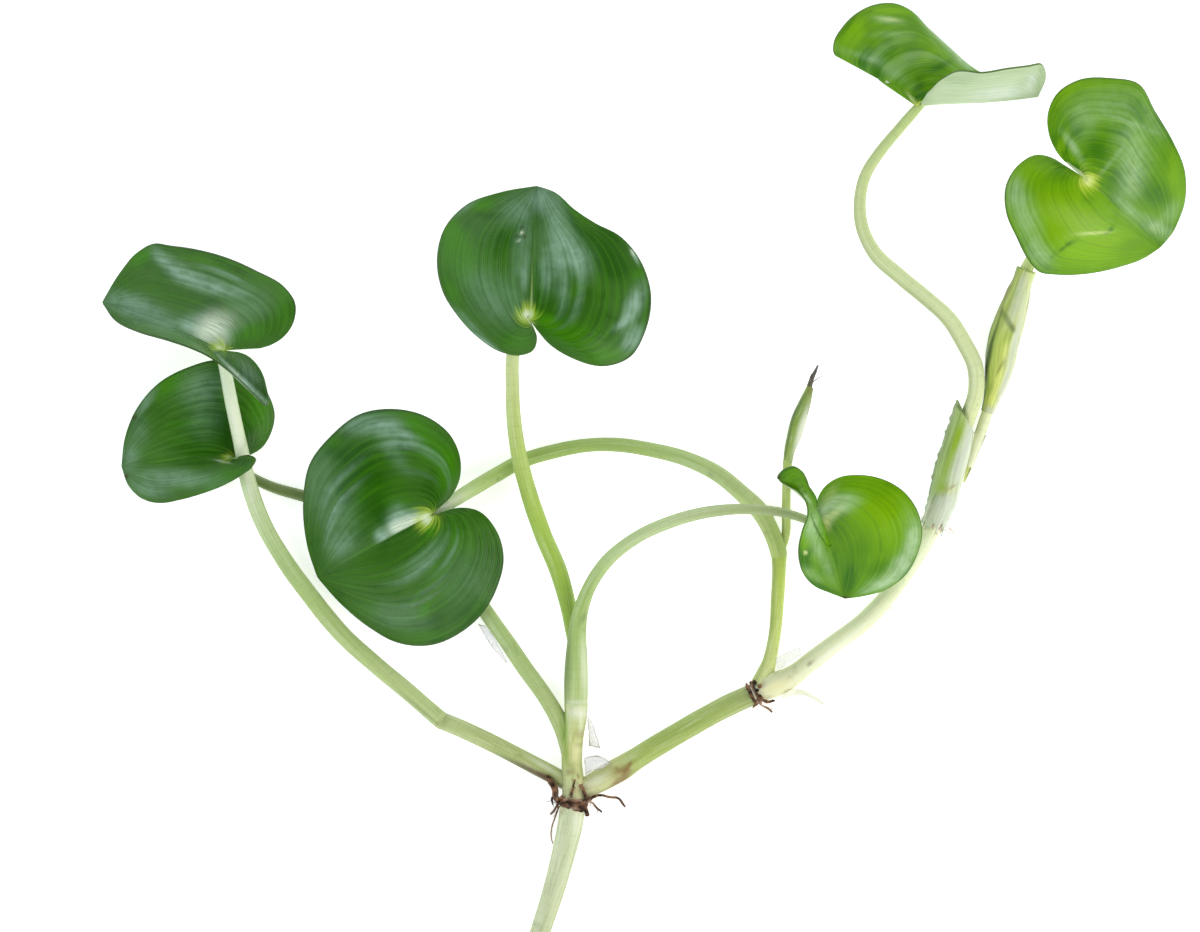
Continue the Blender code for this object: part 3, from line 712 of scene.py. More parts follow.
def grid_mesh(columns: int, rows: int, place: Callable[[int, int], Sequence[float]]) -> bmesh.types.BMesh:
    """Bend a flat grid into shape and give it a UV map.

    Args:
        columns: Number of faces across.
        rows: Number of faces along.
        place: Gives the place in millimetres of the corner (column, row).

    Returns:
        The sheet, with meeting corners welded.
    """
    bm = bmesh.new()
    bmesh.ops.create_grid(bm, x_segments=columns, y_segments=rows, size=0.5)
    chart = bm.loops.layers.uv.new("UVMap")
    for face in bm.faces:
        for loop in face.loops:
            loop[chart].uv = (loop.vert.co.x + 0.5, loop.vert.co.y + 0.5)
    for vert in bm.verts:
        column = round((vert.co.x + 0.5) * columns)
        row = round((vert.co.y + 0.5) * rows)
        vert.co = Vector(place(column, row)) * MM
    bmesh.ops.remove_doubles(bm, verts=bm.verts, dist=WELD * MM)
    return bm


def tube_mesh(stations: np.ndarray, sides: int, shape: Callable[[float, float], float]) -> bmesh.types.BMesh:
    """Closed tube along a curve, nowhere below the table.

    Args:
        stations: Samples of the curve, each x, y, z and radius.
        sides: Number of faces round the tube.
        shape: Gives the share of the radius at an angle and a share of the length.

    Returns:
        The tube with flat caps, their rims shaded as sharp edges.
    """
    _, right, up = frames(stations)
    rows = len(stations) - 1

    def place(column: int, row: int) -> tuple[float, float, float]:
        """Corner of the tube's wall."""
        angle = 2 * math.pi * column / sides
        spoke = math.cos(angle) * right[row] + math.sin(angle) * up[row]
        x, y, z = stations[row, :3] + stations[row, 3] * shape(angle % (2 * math.pi), row / rows) * spoke
        return x, y, max(z, 0.0)

    bm = grid_mesh(sides, rows, place)
    rims = [edge for edge in bm.edges if edge.is_boundary]
    for edge in rims:
        edge.smooth = False
    bmesh.ops.holes_fill(bm, edges=rims, sides=0)
    bmesh.ops.recalc_face_normals(bm, faces=bm.faces)
    return bm


def add_to(whole: bmesh.types.BMesh, part: bmesh.types.BMesh) -> None:
    """Copy a finished bmesh into another one and free it."""
    mesh = bpy.data.meshes.new("part")
    part.to_mesh(mesh)
    part.free()
    whole.from_mesh(mesh)
    bpy.data.meshes.remove(mesh)


def thicken(piece: bpy.types.Object, thickness: float) -> bpy.types.SolidifyModifier:
    """Give a sheet its thickness, in millimetres, half to either side."""
    shell = piece.modifiers.new("Thickness", "SOLIDIFY")
    shell.thickness = thickness * MM
    shell.offset = 0.0
    return shell


def show(
    name: str,
    bm: bmesh.types.BMesh,
    node: str,
    slot: str,
    materials: Sequence[bpy.types.Material],
    patches: Sequence[Patch] = (),
) -> bpy.types.Object:
    """Put a finished mesh on the plant in place of its plain solid.

    Args:
        name: Name of the piece.
        bm: Its mesh, which is freed.
        node: The plain solid that it stands for.
        slot: Material slot of the record that its finish belongs to; not used.
        materials: Its materials.
        patches: Patches painted on it.

    Returns:
        The new piece.
    """
    mesh = bpy.data.meshes.new(name)
    layers = [bm.verts.layers.float.get(layer) for layer in ("vein", "share")]
    veins = np.array([[vert[layer] if layer else 0.0 for layer in layers] for vert in bm.verts])
    spots = np.array([vert.co[:2] for vert in bm.verts]) / MM
    bm.to_mesh(mesh)
    bm.free()
    for material in materials:
        mesh.materials.append(material)
    mesh.shade_smooth()
    for mark in Mark:
        layer = mesh.attributes.new(mark.value, "FLOAT", "POINT")
        shares = (patch.at(spots, veins) for patch in patches if patch.mark is mark)
        total = sum(shares, np.zeros(len(spots)))
        layer.data.foreach_set("value", np.minimum(total, 1.0).astype(np.float32))
    piece = bpy.data.objects.new(name, mesh)
    bpy.context.scene.collection.objects.link(piece)
    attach(piece, BODY)
    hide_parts(node)
    LOG.info("%s: %d faces, in place of %s", name, len(mesh.polygons), node)
    return piece


@dataclass
class Blade:
    """One leaf blade: two halves that meet at the midrib.

    Args:
        node: Solid that it stands for.
        slot: Material slot of the record.
        upper: Finish of the upper side.
        lower: Finish of the lower side.
        attachment: Where the stalk meets the blade.
        tip: Tip of the blade.
        first_side: Margin of the first half, from the foot to the tip.
        second_side: Margin of the second half, from the foot to the tip.
        swell: Rise halfway across the first half, along the midrib and across the second half.
        bow: Sideways bend of the midrib in the middle of its length.
        fold: Softness of the fold at the midrib.
        crowd: How long the midrib stays near the foot while the margin goes round the lobes.
        quilt: Depth of the grooves along the veins.
        waves: Height of the waves in the blade.
        neck: Both sides of the narrow neck of a lobe in the first half.
        star_reach: Radius of the pale star round the foot.
        midrib: How strongly the pale midrib shows.
        patches: Patches on the blade.
        seed: Shifts the waves.
    """

    node: str
    slot: str
    upper: BladeFinish
    lower: BladeFinish
    attachment: Point
    tip: Point
    first_side: list[Point]
    second_side: list[Point]
    swell: tuple[float, float, float]
    bow: tuple[float, float] = (0.0, 0.0)
    fold: float = 0.14
    crowd: float = 1.7
    quilt: float = 0.03
    waves: float = 0.35
    neck: Optional[tuple[Point, Point]] = None
    star_reach: float = 3.4
    midrib: float = 0.3
    patches: tuple[Patch, ...] = ()
    seed: float = 0.0

    def waists(self, margin: np.ndarray) -> list[Optional[np.ndarray]]:
        """Point of the neck that each row of the first half passes through.

        Args:
            margin: Samples of the first half's margin.

        Returns:
            One point per row, or None where the row is straight.
        """
        found: list[Optional[np.ndarray]] = [None] * len(margin)
        if self.neck:
            right, left = (np.array(point) for point in self.neck)
            start = int(np.argmin(np.linalg.norm(margin - right, axis=1)))
            end = start + 6 + int(np.argmin(np.linalg.norm(margin[start + 6:] - left, axis=1)))
            for row in range(start, end + 1):
                found[row] = right + (left - right) * (row - start) / (end - start)
        return found

    @staticmethod
    def offset(rib: np.ndarray, edge: np.ndarray, waist: Optional[np.ndarray], share: float) -> np.ndarray:
        """Way from the midrib to a point on a row.

        Args:
            rib: Start of the row on the midrib.
            edge: Its end on the margin.
            waist: Point of the neck that it passes through, if any.
            share: How far along the row the point lies.

        Returns:
            The offset from the midrib.
        """
        if waist is None:
            return share * (edge - rib)
        near = float(np.linalg.norm(waist - rib))
        at = min(near / (near + float(np.linalg.norm(edge - waist))), 0.95)
        control = (waist - (1 - at) ** 2 * rib - at**2 * edge) / (2 * at * (1 - at))
        return 2 * share * (1 - share) * (control - rib) + share**2 * (edge - rib)

    def build(self) -> bmesh.types.BMesh:
        """Shape the sheet of the blade, its upper side facing up."""
        foot, tip = np.array(self.attachment), np.array(self.tip)
        first = smooth(self.first_side + [self.tip], BLADE_ROWS + 1)
        second = smooth(self.second_side + [self.tip], BLADE_ROWS + 1)
        waists = self.waists(first)
        full = (1 + math.sqrt(1 + self.fold**2)) / 2
        columns = 2 * VEINS_PER_HALF * COLUMNS_PER_VEIN
        rise = np.linalg.norm(tip - foot) / LONG_RAY * self.swell[1]
        arch = np.array((*self.bow, rise))

        def place(column: int, row: int) -> np.ndarray:
            """Corner of the blade."""
            w, s = 2 * column / columns - 1, row / BLADE_ROWS
            share = s**self.crowd
            rib = foot + (tip - foot) * share + arch * math.sin(math.pi * share)
            root = math.sqrt(w * w + self.fold**2)
            a, b = (root + w) / 2 / full, (root - w) / 2 / full
            point = rib + self.offset(rib, first[row], waists[row], a) + b * (second[row] - rib)
            reach = np.linalg.norm((first if w > 0 else second)[row] - rib)
            swell = self.swell[0] if w > 0 else self.swell[2]
            lift = swell * math.sin(math.pi * abs(w)) * reach / LONG_RAY
            vein = abs(w) * VEINS_PER_HALF
            hollow = -self.quilt * math.exp(-((vein - round(vein)) / VEIN_GROOVE) ** 2) * min(1.0, reach / 8)
            wave = self.waves * ripple(point, 9.0, self.seed) * min(1.0, reach / 10) * (1 - 0.5 * abs(w))
            flutter = self.waves * 0.5 * abs(w) ** 4 * math.sin(19 * s + self.seed) * min(1.0, reach / 10)
            point[2] = max(point[2] + lift + hollow + wave + flutter, BLADE_THICKNESS)
            return point

        bm = grid_mesh(columns, BLADE_ROWS, place)
        vein_layer, share_layer = (bm.verts.layers.float.new(name) for name in ("vein", "share"))
        chart = bm.loops.layers.uv.active
        for vert in bm.verts:
            spot = vert.link_loops[0][chart].uv
            vert[vein_layer], vert[share_layer] = spot.x * 2 - 1, spot.y
        bm.normal_update()
        if sum(face.normal.z * face.calc_area() for face in bm.faces) < 0:
            bmesh.ops.reverse_faces(bm, faces=bm.faces)
        return bm

    def dress(self) -> bpy.types.Object:
        """Build the blade with its thickness and finishes."""
        finishes = [side.make(self.node, self.attachment, self.star_reach, self.midrib)
                    for side in (self.upper, self.lower)]
        piece = show(self.node + "_blade", self.build(), self.node, self.slot, finishes, self.patches)
        thicken(piece, BLADE_THICKNESS).material_offset = 1
        return piece


FILM_THICKNESS = 0.1
FILM_GRID = (14, 40)
SHEATH_COLUMNS = 64
SHEATH_ROW = 0.4
BAND_SAMPLES = 15
BAND_SIDES = 56
STRAND_SIDES = 10
HAIR_SIDES = 5
STALK_SIDES = 44
STALK_ROW = 0.9
WALL_STEP = 2.1
RIBS = 15


@dataclass
class Stalk:
    """One round stem or leaf stalk.

    Args:
        node: Solid that it stands for.
        slot: Material slot of the record.
        finish: Its finish.
        path: Points of its middle line, each x, y, height and radius, or x, y and radius on the table.
        ribs: Depth of its ribs as a share of the radius.
        wisps: Fine dry threads that stand off it, each x, y, height and radius.
        patches: Patches on it.
    """

    node: str
    slot: str
    finish: StalkFinish
    path: list[Point]
    ribs: float = 0.02
    wisps: list[list[Point]] = field(default_factory=list)
    patches: tuple[Patch, ...] = ()

    def build(self) -> bmesh.types.BMesh:
        """Shape the ribbed tube and its wisps."""
        path = settled(self.path)
        stations = smooth(path, max(12, round(length(path) / STALK_ROW)) + 1)
        total = length(path)

        def shape(angle: float, share: float) -> float:
            """Share of the radius at an angle and a share of the length."""
            around = (math.cos(angle) * 2.2, math.sin(angle) * 2.2, share * total / 7)
            return 1 + self.ribs * math.cos(RIBS * angle) + 0.045 * ripple(around, 1.0, total)

        whole = tube_mesh(stations, STALK_SIDES, shape)
        for wisp in self.wisps:
            add_to(whole, tube_mesh(smooth(wisp, 9), 8, lambda angle, share: 1.0))
        return whole

    def dress(self) -> bpy.types.Object:
        """Build the stem with its finish."""
        finish = self.finish.make(self.node + "_green", length(settled(self.path)) / WALL_STEP)
        return show(self.node + "_skin", self.build(), self.node, self.slot, (finish,), self.patches)


@dataclass
class Sheath:
    """Open tube of thin leaf tissue round a stalk.

    Args:
        node: Solid that it stands for.
        slot: Material slot of the record.
        finish: Its finish.
        path: Points of its middle line, each x, y, height and radius.
        edges: Angles of its two edges in degrees; 0 is the right-hand side and 90 the top.
        mouth_lean: How far the mouth leans forward on the left.
        creases: Depth of its creases in millimetres.
        fray: Height of the ragged skin along its left side in millimetres.
        foot_fringe: Depth of the ragged edge at its foot in millimetres.
        patches: Patches on it.
        thickness: Thickness of its wall.
    """

    node: str
    slot: str
    finish: SheathFinish
    path: list[Point]
    edges: tuple[float, float]
    mouth_lean: float = 0.0
    creases: float = 0.12
    fray: float = 0.0
    foot_fringe: float = 0.0
    patches: tuple[Patch, ...] = ()
    thickness: float = 0.16

    def build(self) -> bmesh.types.BMesh:
        """Shape the creased open tube."""
        rows, columns = max(12, round(length(self.path) / SHEATH_ROW)), SHEATH_COLUMNS
        stations = smooth(self.path, rows + 1)
        along, right, up = frames(stations)
        start, end = (math.radians(edge) for edge in self.edges)

        def place(column: int, row: int) -> np.ndarray:
            """Corner of the tube's wall."""
            angle = start + (end - start) * column / columns
            spoke = math.cos(angle) * right[row] + math.sin(angle) * up[row]
            lean = -math.cos(angle) * self.mouth_lean * (row / rows) ** 3
            crease = self.creases * ripple((angle * 5, row * 0.12, 0.0), 1.0, self.path[0][0])
            ragged = max(0.0, 0.5 + ripple((row * 0.5, 0.0, 0.0), 1.0))
            ragged *= math.exp(-((angle - math.pi) / 0.16) ** 2)
            crease += self.fray * ragged
            fringe = 0.25 * (row / rows) ** 20 + self.foot_fringe * (1 - row / rows) ** 9
            fringe *= ripple((angle * 9, 0.0, row * 0.05), 1.0, 3.0)
            return stations[row, :3] + (stations[row, 3] + crease) * spoke + (lean + fringe) * along[row]

        bm = grid_mesh(columns, rows, place)
        bmesh.ops.recalc_face_normals(bm, faces=bm.faces)
        return bm

    def dress(self) -> bpy.types.Object:
        """Build the sheath with its thickness and finish."""
        finish = self.finish.make(self.node + "_tissue")
        piece = show(self.node + "_wrap", self.build(), self.node, self.slot, (finish,), self.patches)
        thicken(piece, self.thickness)
        return piece


@dataclass
class Film:
    """Dry skin between two edges.

    Args:
        node: Solid that it stands for.
        finish: Its finish.
        first: First long edge.
        second: Second long edge.
        sag: Depth of its curl in millimetres.
    """

    node: str
    finish: FilmFinish
    first: list[Point]
    second: list[Point]
    sag: float = 0.2

    def build(self) -> bmesh.types.BMesh:
        """Shape the curled skin."""
        columns, rows = FILM_GRID
        first, second = smooth(self.first, rows + 1), smooth(self.second, rows + 1)

        def place(column: int, row: int) -> np.ndarray:
            """Corner of the skin."""
            share = column / columns
            point = first[row] + (second[row] - first[row]) * share
            point[2] += self.sag * math.sin(math.pi * share) + 0.1 * ripple(point, 1.3)
            point[:2] += 0.12 * ripple(point, 0.8, 4.0)
            point[2] = max(point[2], 0.1)
            return point

        return grid_mesh(columns, rows, place)

    def dress(self) -> bpy.types.Object:
        """Build the skin with its thickness and finish."""
        piece = show(self.node + "_film", self.build(), self.node, "dry_skin", (self.finish.make(),))
        thicken(piece, FILM_THICKNESS)
        return piece


@dataclass
class RootTuft:
    """Ragged bands of root buds round a joint and the roots that leave them.

    Args:
        node: Solid that it stands for.
        slot: Material slot of the record.
        finish: Its finish.
        bands: Middle lines of the ring's bands, each x, y, height and radius.
        strands: Roots, each a list of x, y, height and radius.
        knobs: Root buds, each x, y, height and radius.
        hairs: Number of fine side roots.
        hair_radius: Radius of a side root.
        ragged: Unevenness of the bands as a share of their radius.
        patches: Patches on the tuft.
        seed: Seed of the side roots.
    """

    node: str
    slot: str
    finish: RootFinish
    bands: list[list[Point]]
    strands: list[list[Point]]
    knobs: list[Point] = field(default_factory=list)
    hairs: int = 26
    hair_radius: float = 0.08
    ragged: float = 0.09
    patches: tuple[Patch, ...] = ()
    seed: int = 1

    @staticmethod
    def strand(points: Sequence[Point], sides: int) -> bmesh.types.BMesh:
        """One root as a thin uneven tube.

        Args:
            points: Its middle line, each x, y, height and radius.
            sides: Number of faces round it.

        Returns:
            The tube.
        """
        stations = smooth(points, max(6, round(length(points) / 0.3)) + 1)
        for station in stations:
            station[:3] += 0.07 * noise.noise_vector(Vector(station[:3] * 1.3))
            station[2] = max(station[2], station[3] * 0.8)

        def uneven(angle: float, share: float) -> float:
            """Width at one place, as a share of the radius."""
            return 1 + 0.2 * ripple((share * 14, angle, 0), 1.0, sides)

        return tube_mesh(stations, sides, uneven)

    @staticmethod
    def knob(bud: Point) -> bmesh.types.BMesh:
        """One root bud as a lumpy bead."""
        x, y, z, radius = bud
        bm = bmesh.new()
        bmesh.ops.create_icosphere(bm, subdivisions=3, radius=radius * MM)
        for vert in bm.verts:
            lump = 1 + 0.35 * ripple(vert.co / MM + Vector((x, y, z)), 0.6)
            vert.co = vert.co * lump + Vector((x, y, z)) * MM
            vert.co.z = max(vert.co.z, 0.0)
        return bm

    def build(self) -> bmesh.types.BMesh:
        """Shape the bands, the buds, the roots and their side roots."""
        whole = bmesh.new()
        for number, band in enumerate(self.bands):

            def uneven(angle: float, share: float, number: int = number) -> float:
                """Share of the band's radius, with root buds all round."""
                around = (math.cos(angle) * 2.4, math.sin(angle) * 2.4, share * 2.0 + 5 * number)
                lumps = self.ragged * 1.6 * ripple(around, 1.0, self.seed)
                return 1 + lumps + self.ragged * 0.5 * math.sin(11 * angle)

            add_to(whole, tube_mesh(smooth(band, BAND_SAMPLES), BAND_SIDES, uneven))
        for points in self.strands:
            add_to(whole, self.strand(points, STRAND_SIDES))
        for bud in self.knobs:
            add_to(whole, self.knob(bud))
        chance = np.random.default_rng(self.seed)
        for _ in range(self.hairs):
            points = self.strands[chance.integers(len(self.strands))]
            where = smooth(points, 9)[chance.integers(8), :3]
            away = chance.normal(size=3) * (1.0, 1.0, 0.5)
            away /= np.linalg.norm(away)
            reach = chance.uniform(0.4, 1.1)
            middle = where + away * reach * 0.5
            end = where + away * reach + chance.normal(size=3) * 0.15
            thick = self.hair_radius
            line = [(*where, thick), (*middle, 0.8 * thick), (*end, 0.6 * thick)]
            add_to(whole, self.strand([(x, y, max(z, 0.1), r) for x, y, z, r in line], HAIR_SIDES))
        return whole

    def dress(self) -> bpy.types.Object:
        """Build the tuft with its finish."""
        name = self.node + "_roots"
        return show(name, self.build(), self.node, self.slot, (self.finish.make(),), self.patches)


@dataclass
class Studio:
    """Pale table, soft lights and the camera above the plant.

    Args:
        view_centre: Point of the table in the middle of the picture, in millimetres.
        view_width: Width of the picture on the table, in millimetres.
        lens: Focal length in millimetres.
        sensor: Sensor width in millimetres.
        floor: Colour of the table.
        table_glow: Light that comes up through the table, as a share of full white.
        zenith: Brightness of the room straight above.
        horizon: Brightness of the room at the height of the table.
        softboxes: Place, size, power and colour of each softbox.
    """

    view_centre: tuple[float, float] = (-9.0, 4.4)
    view_width: float = 240.0
    lens: float = 500.0
    sensor: float = 36.0
    floor: Colour = (250, 251, 252)
    table_glow: float = 0.56
    zenith: float = 0.1
    horizon: float = 1.0
    softboxes: list[tuple[Point, float, float, Colour]] = field(default_factory=lambda: [
        ((900.0, -500.0, 800.0), 900.0, 7.5, (255, 252, 246)),
        ((-950.0, 250.0, 750.0), 900.0, 4.5, (232, 242, 255)),
        ((150.0, 950.0, 800.0), 900.0, 3.6, (246, 250, 255)),
        ((-250.0, -950.0, 800.0), 900.0, 3.6, (250, 252, 255)),
    ])

    def lay_table(self) -> None:
        """Lay the pale table."""
        bm = bmesh.new()
        bmesh.ops.create_grid(bm, x_segments=2, y_segments=2, size=6.0)
        mesh = bpy.data.meshes.new("table_top")
        bm.to_mesh(mesh)
        bm.free()
        sheet = NodeSheet("table_white")
        cloud = sheet.noise(sheet.place(), 3.0, 2.0)
        body = sheet.blend(cloud, (252, 252, 252), self.floor)
        sheet.set(Base_Color=body, Roughness=0.7, Specular_IOR_Level=0.2, Emission_Color=(1.0, 1.0, 1.0, 1.0),
                  Emission_Strength=self.table_glow)
        mesh.materials.append(sheet.material)
        table = bpy.data.objects.new("table_top", mesh)
        bpy.context.scene.collection.objects.link(table)

    def light(self) -> None:
        """Hang the softboxes and set the room's own light."""
        world = bpy.data.worlds.new("room")
        world.use_nodes = True
        nodes, links = world.node_tree.nodes, world.node_tree.links
        room = nodes["Background"]
        room.inputs["Color"].default_value = (0.95, 0.975, 1.0, 1.0)
        height = nodes.new("ShaderNodeSeparateXYZ")
        links.new(nodes.new("ShaderNodeTexCoord").outputs["Generated"], height.inputs[0])
        fade = nodes.new("ShaderNodeMapRange")
        fade.interpolation_type = "SMOOTHSTEP"
        limits = {"From Min": 0.2, "From Max": 0.85, "To Min": self.horizon, "To Max": self.zenith}
        for name, value in limits.items():
            fade.inputs[name].default_value = value
        links.new(height.outputs["Z"], fade.inputs["Value"])
        links.new(fade.outputs["Result"], room.inputs["Strength"])
        bpy.context.scene.world = world
        for index, (place, size, power, colour) in enumerate(self.softboxes):
            data = bpy.data.lights.new(f"softbox_{index}", "AREA")
            data.shape = "SQUARE"
            data.size = size * MM
            data.energy = power
            data.color = linear(colour)[:3]
            box = bpy.data.objects.new(data.name, data)
            bpy.context.scene.collection.objects.link(box)
            box.location = Vector(place) * MM
            box.rotation_mode = "QUATERNION"
            box.rotation_quaternion = (-box.location).to_track_quat("-Z", "Y")
            box.visible_camera = False

    def aim(self) -> None:
        """Set the camera straight above the plant."""
        data = bpy.data.cameras.new("above")
        data.lens = self.lens
        data.sensor_width = self.sensor
        camera = bpy.data.objects.new("above", data)
        bpy.context.scene.collection.objects.link(camera)
        x, y = self.view_centre
        camera.location = Vector((x, y, self.view_width * self.lens / self.sensor)) * MM
        data.clip_end = 20.0
        bpy.context.scene.camera = camera
        bpy.context.scene.view_settings.view_transform = "Standard"

    def set_up(self) -> None:
        """Set up the table, the lights and the camera."""
        self.lay_table()
        self.light()
        self.aim()


# The pale colour of each blade finish is the colour of its painted sheen and glare
DARK_UPPER = BladeFinish(
    "upper", deep=(34, 86, 0), middle=(60, 107, 28), fresh=(64, 130, 0), pale=(146, 180, 156),
    lemon=(222, 234, 208),
)
DARK_LOWER = BladeFinish(
    "lower", deep=(92, 132, 78), middle=(120, 160, 98), fresh=(146, 182, 112), pale=(186, 206, 176),
    roughness=0.45,
)
BRIGHT_UPPER = BladeFinish(
    "upper", deep=(56, 116, 0), middle=(100, 154, 6), fresh=(130, 182, 0), pale=(176, 208, 156),
    lemon=(226, 240, 160), star=(198, 220, 70), edge=(74, 100, 46), lines=0.22,
)
BRIGHT_LOWER = BladeFinish(
    "lower", deep=(158, 184, 134), middle=(186, 204, 164), fresh=(204, 218, 186), pale=(218, 228, 216),
    edge=(130, 146, 114), roughness=0.45,
)

# pale lays pale patches, on blades painted sheen and glare; streak lays painted sheen along the veins, glint
# painted yellow-white glints, groove dark lines along the veins
pale, dark, rust, fresh, lemon = (mark.patch for mark in Mark)
streak, groove, glint = (mark.streak for mark in (Mark.PALE_AND_SHEEN, Mark.DARK, Mark.LEMON))
first, second = Half


def on(half: Half, *patches: Patch) -> tuple[Patch, ...]:
    """Lay patches on one half of a blade."""
    return tuple(replace(patch, half=half) for patch in patches)


def leaf_far_left() -> Blade:
    """The folded leaf at the far left."""
    return Blade(
        "leaf_far_left", "blade_dark", DARK_UPPER, DARK_LOWER, attachment=(-85, 27.4, 11),
        tip=(-108.3, 37, 8.5),
        first_side=[
            (-83, 28.1, 10.6), (-79.8, 28, 9.4), (-75.8, 28.2, 8), (-72.2, 30.2, 6), (-70.2, 33.4, 4.2),
            (-70, 37, 3), (-72, 40, 2.2), (-77.8, 43.4, 1.3), (-84, 46.1, 0.7), (-90.6, 47.8, 0.5),
            (-95, 48.4, 1.1), (-98, 48.8, 2.2), (-101.4, 47, 3.8), (-104.6, 43.2, 6),
        ],
        second_side=[
            (-83.4, 27.1, 12), (-81, 26.9, 14), (-78.8, 26, 16.5), (-77, 24.2, 19), (-75.8, 22, 21),
            (-75.2, 19.6, 22.5), (-74.8, 17.2, 23.5), (-75.1, 16.4, 24.3), (-77.4, 18.3, 25.6),
            (-80.4, 21.3, 26.6), (-83.6, 24, 27), (-86.6, 26.1, 26.6), (-90, 27.7, 25), (-95, 29.4, 22.4),
            (-100.6, 31, 18.8), (-105.6, 33.4, 13.5),
        ],
        swell=(0.6, 1.5, 0.5), fold=0.08, midrib=0.1, star_reach=3.4, seed=1,
        patches=(
            *on(
                first, pale(-97, 46.2, 2.6, 1.2, -50, 0.5), pale(-93.6, 43.4, 4, 1.7, -38, 0.6),
                pale(-88.2, 40.9, 5, 1.8, -20, 0.6), pale(-83, 39.4, 3.8, 1.2, -8, 0.4),
                streak(-84.4, 42.9, 0.08, 0.03, 0.6), pale(-79, 36.5, 4, 3.6, 0, 0.25),
                # Painted glare fan round the foot: pale and yellow-white streaks, with a dark line at its
                # outer end
                streak(-86.4, 31.4, 0.13, 0.2, 0.7), glint(-86.4, 32, 0.08, 0.2, 0.85),
                glint(-85.4, 29.6, 0.12, 0.12, 0.6), streak(-90.6, 32.5, 0.06, 0.1, 0.6),
                groove(-87.2, 35.4, 0.045, 0.24, 0.8), dark(-94, 38.6, 6, 1.2, -25, 0.35),
                fresh(-100.6, 46.2, 3, 1.8, 35, 0.8), fresh(-79.5, 31.2, 5, 1.8, 12, 0.6),
                fresh(-72.4, 36.8, 1.6, 4, 0, 0.5), fresh(-88, 45.4, 5, 0.8, -16, 0.4),
                dark(-90.4, 47.4, 9, 0.5, -12, 0.5),
            ),
            *on(
                second, pale(-79.8, 21.2, 6.8, 0.6, -44, 0.9), lemon(-81.6, 22.8, 3.6, 0.3, -44, 0.4),
                pale(-78.6, 22.6, 3.4, 1.4, -50, 0.35), dark(-78, 25.4, 4, 0.6, -32, 0.5),
            ),
            pale(-103.6, 37, 5.4, 2.2, -12, 0.5), pale(-97, 33.4, 8, 2.4, -20, 0.42),
        ),
    )


def leaf_low_left() -> Blade:
    """The cupped leaf below it."""
    return Blade(
        "leaf_low_left", "blade_dark", DARK_UPPER, DARK_LOWER, attachment=(-83.2, 5.6, 4.6),
        tip=(-104.6, 4.4, 3),
        first_side=[
            (-81.4, 6.1, 3.4), (-79.4, 6.6, 2.6), (-76.6, 8.2, 2.2), (-74.8, 11.2, 2.4),
            (-74.1, 14.8, 3.2), (-75.2, 18.6, 4.2), (-77.4, 22.2, 5.2), (-81, 24.8, 6.2),
            (-85.4, 25.6, 7), (-91, 24.2, 7.8), (-97, 21, 8), (-101.4, 16, 7.2), (-103.8, 10.2, 5.4),
        ],
        second_side=[
            (-82, 5.8, 7.2), (-80.4, 6.3, 9.6), (-78.8, 6.4, 10.4), (-77.7, 5.8, 10.4), (-78.4, 4.2, 10),
            (-80.4, 2.6, 8.8), (-83.4, 0.8, 6.4), (-88, -1, 3.6), (-93, -2.4, 1.8), (-97, -3, 0.7),
            (-100, -2.4, 0.4), (-103, 0.2, 1.2),
        ],
        swell=(0, 0.4, 0.8), midrib=0.05, star_reach=2.2, seed=2,
        patches=(
            *on(
                first, pale(-88.4, 20.4, 4.6, 3.2, 20, 0.42), pale(-88, 14, 4, 3.6, 70, 0.2),
                fresh(-95, 21.2, 3, 2, 30, 0.95), fresh(-77, 15.2, 2.4, 5.4, 0, 1),
                dark(-79, 9.6, 1.6, 3, 0, 0.8), fresh(-92, 12.8, 4.4, 1.4, 8, 0.5),
                dark(-92.6, 12.2, 3.6, 0.7, 8, 0.5), dark(-89, 7.2, 6.4, 1.7, -14, 0.95),
                fresh(-92, 8.8, 4, 1.2, -14, 0.6), pale(-99.6, 17.2, 3.4, 0.9, 55, 0.45),
                pale(-101.2, 10.8, 3.4, 2, 80, 0.25), dark(-97, 15.6, 2.2, 1.4, 0, 0.3),
                rust(-102, 14.2, 0.6, 0.35, -20, 1), dark(-100.6, 13.4, 1.2, 0.35, -25, 0.8),
            ),
            *on(
                second, pale(-94, 2, 9, 1.8, -4, 0.5), pale(-99, -0.4, 4, 1.4, -10, 0.4),
                fresh(-83.6, 2.4, 5, 1.2, 22, 0.7), dark(-79.6, 5.4, 1.8, 0.8, 25, 0.5),
            ),
            # dark at -89.2, 4.9 is painted shade in the crease along the midrib
            pale(-103, 6.2, 2, 2.6, 0, 0.4), dark(-89.2, 4.9, 6.2, 0.5, 1, 0.7),
            rust(-103.7, 2.4, 0.45, 0.5, 0, 0.9), lemon(-84.2, 5.2, 1.6, 0.25, -12, 0.6),
        ),
    )


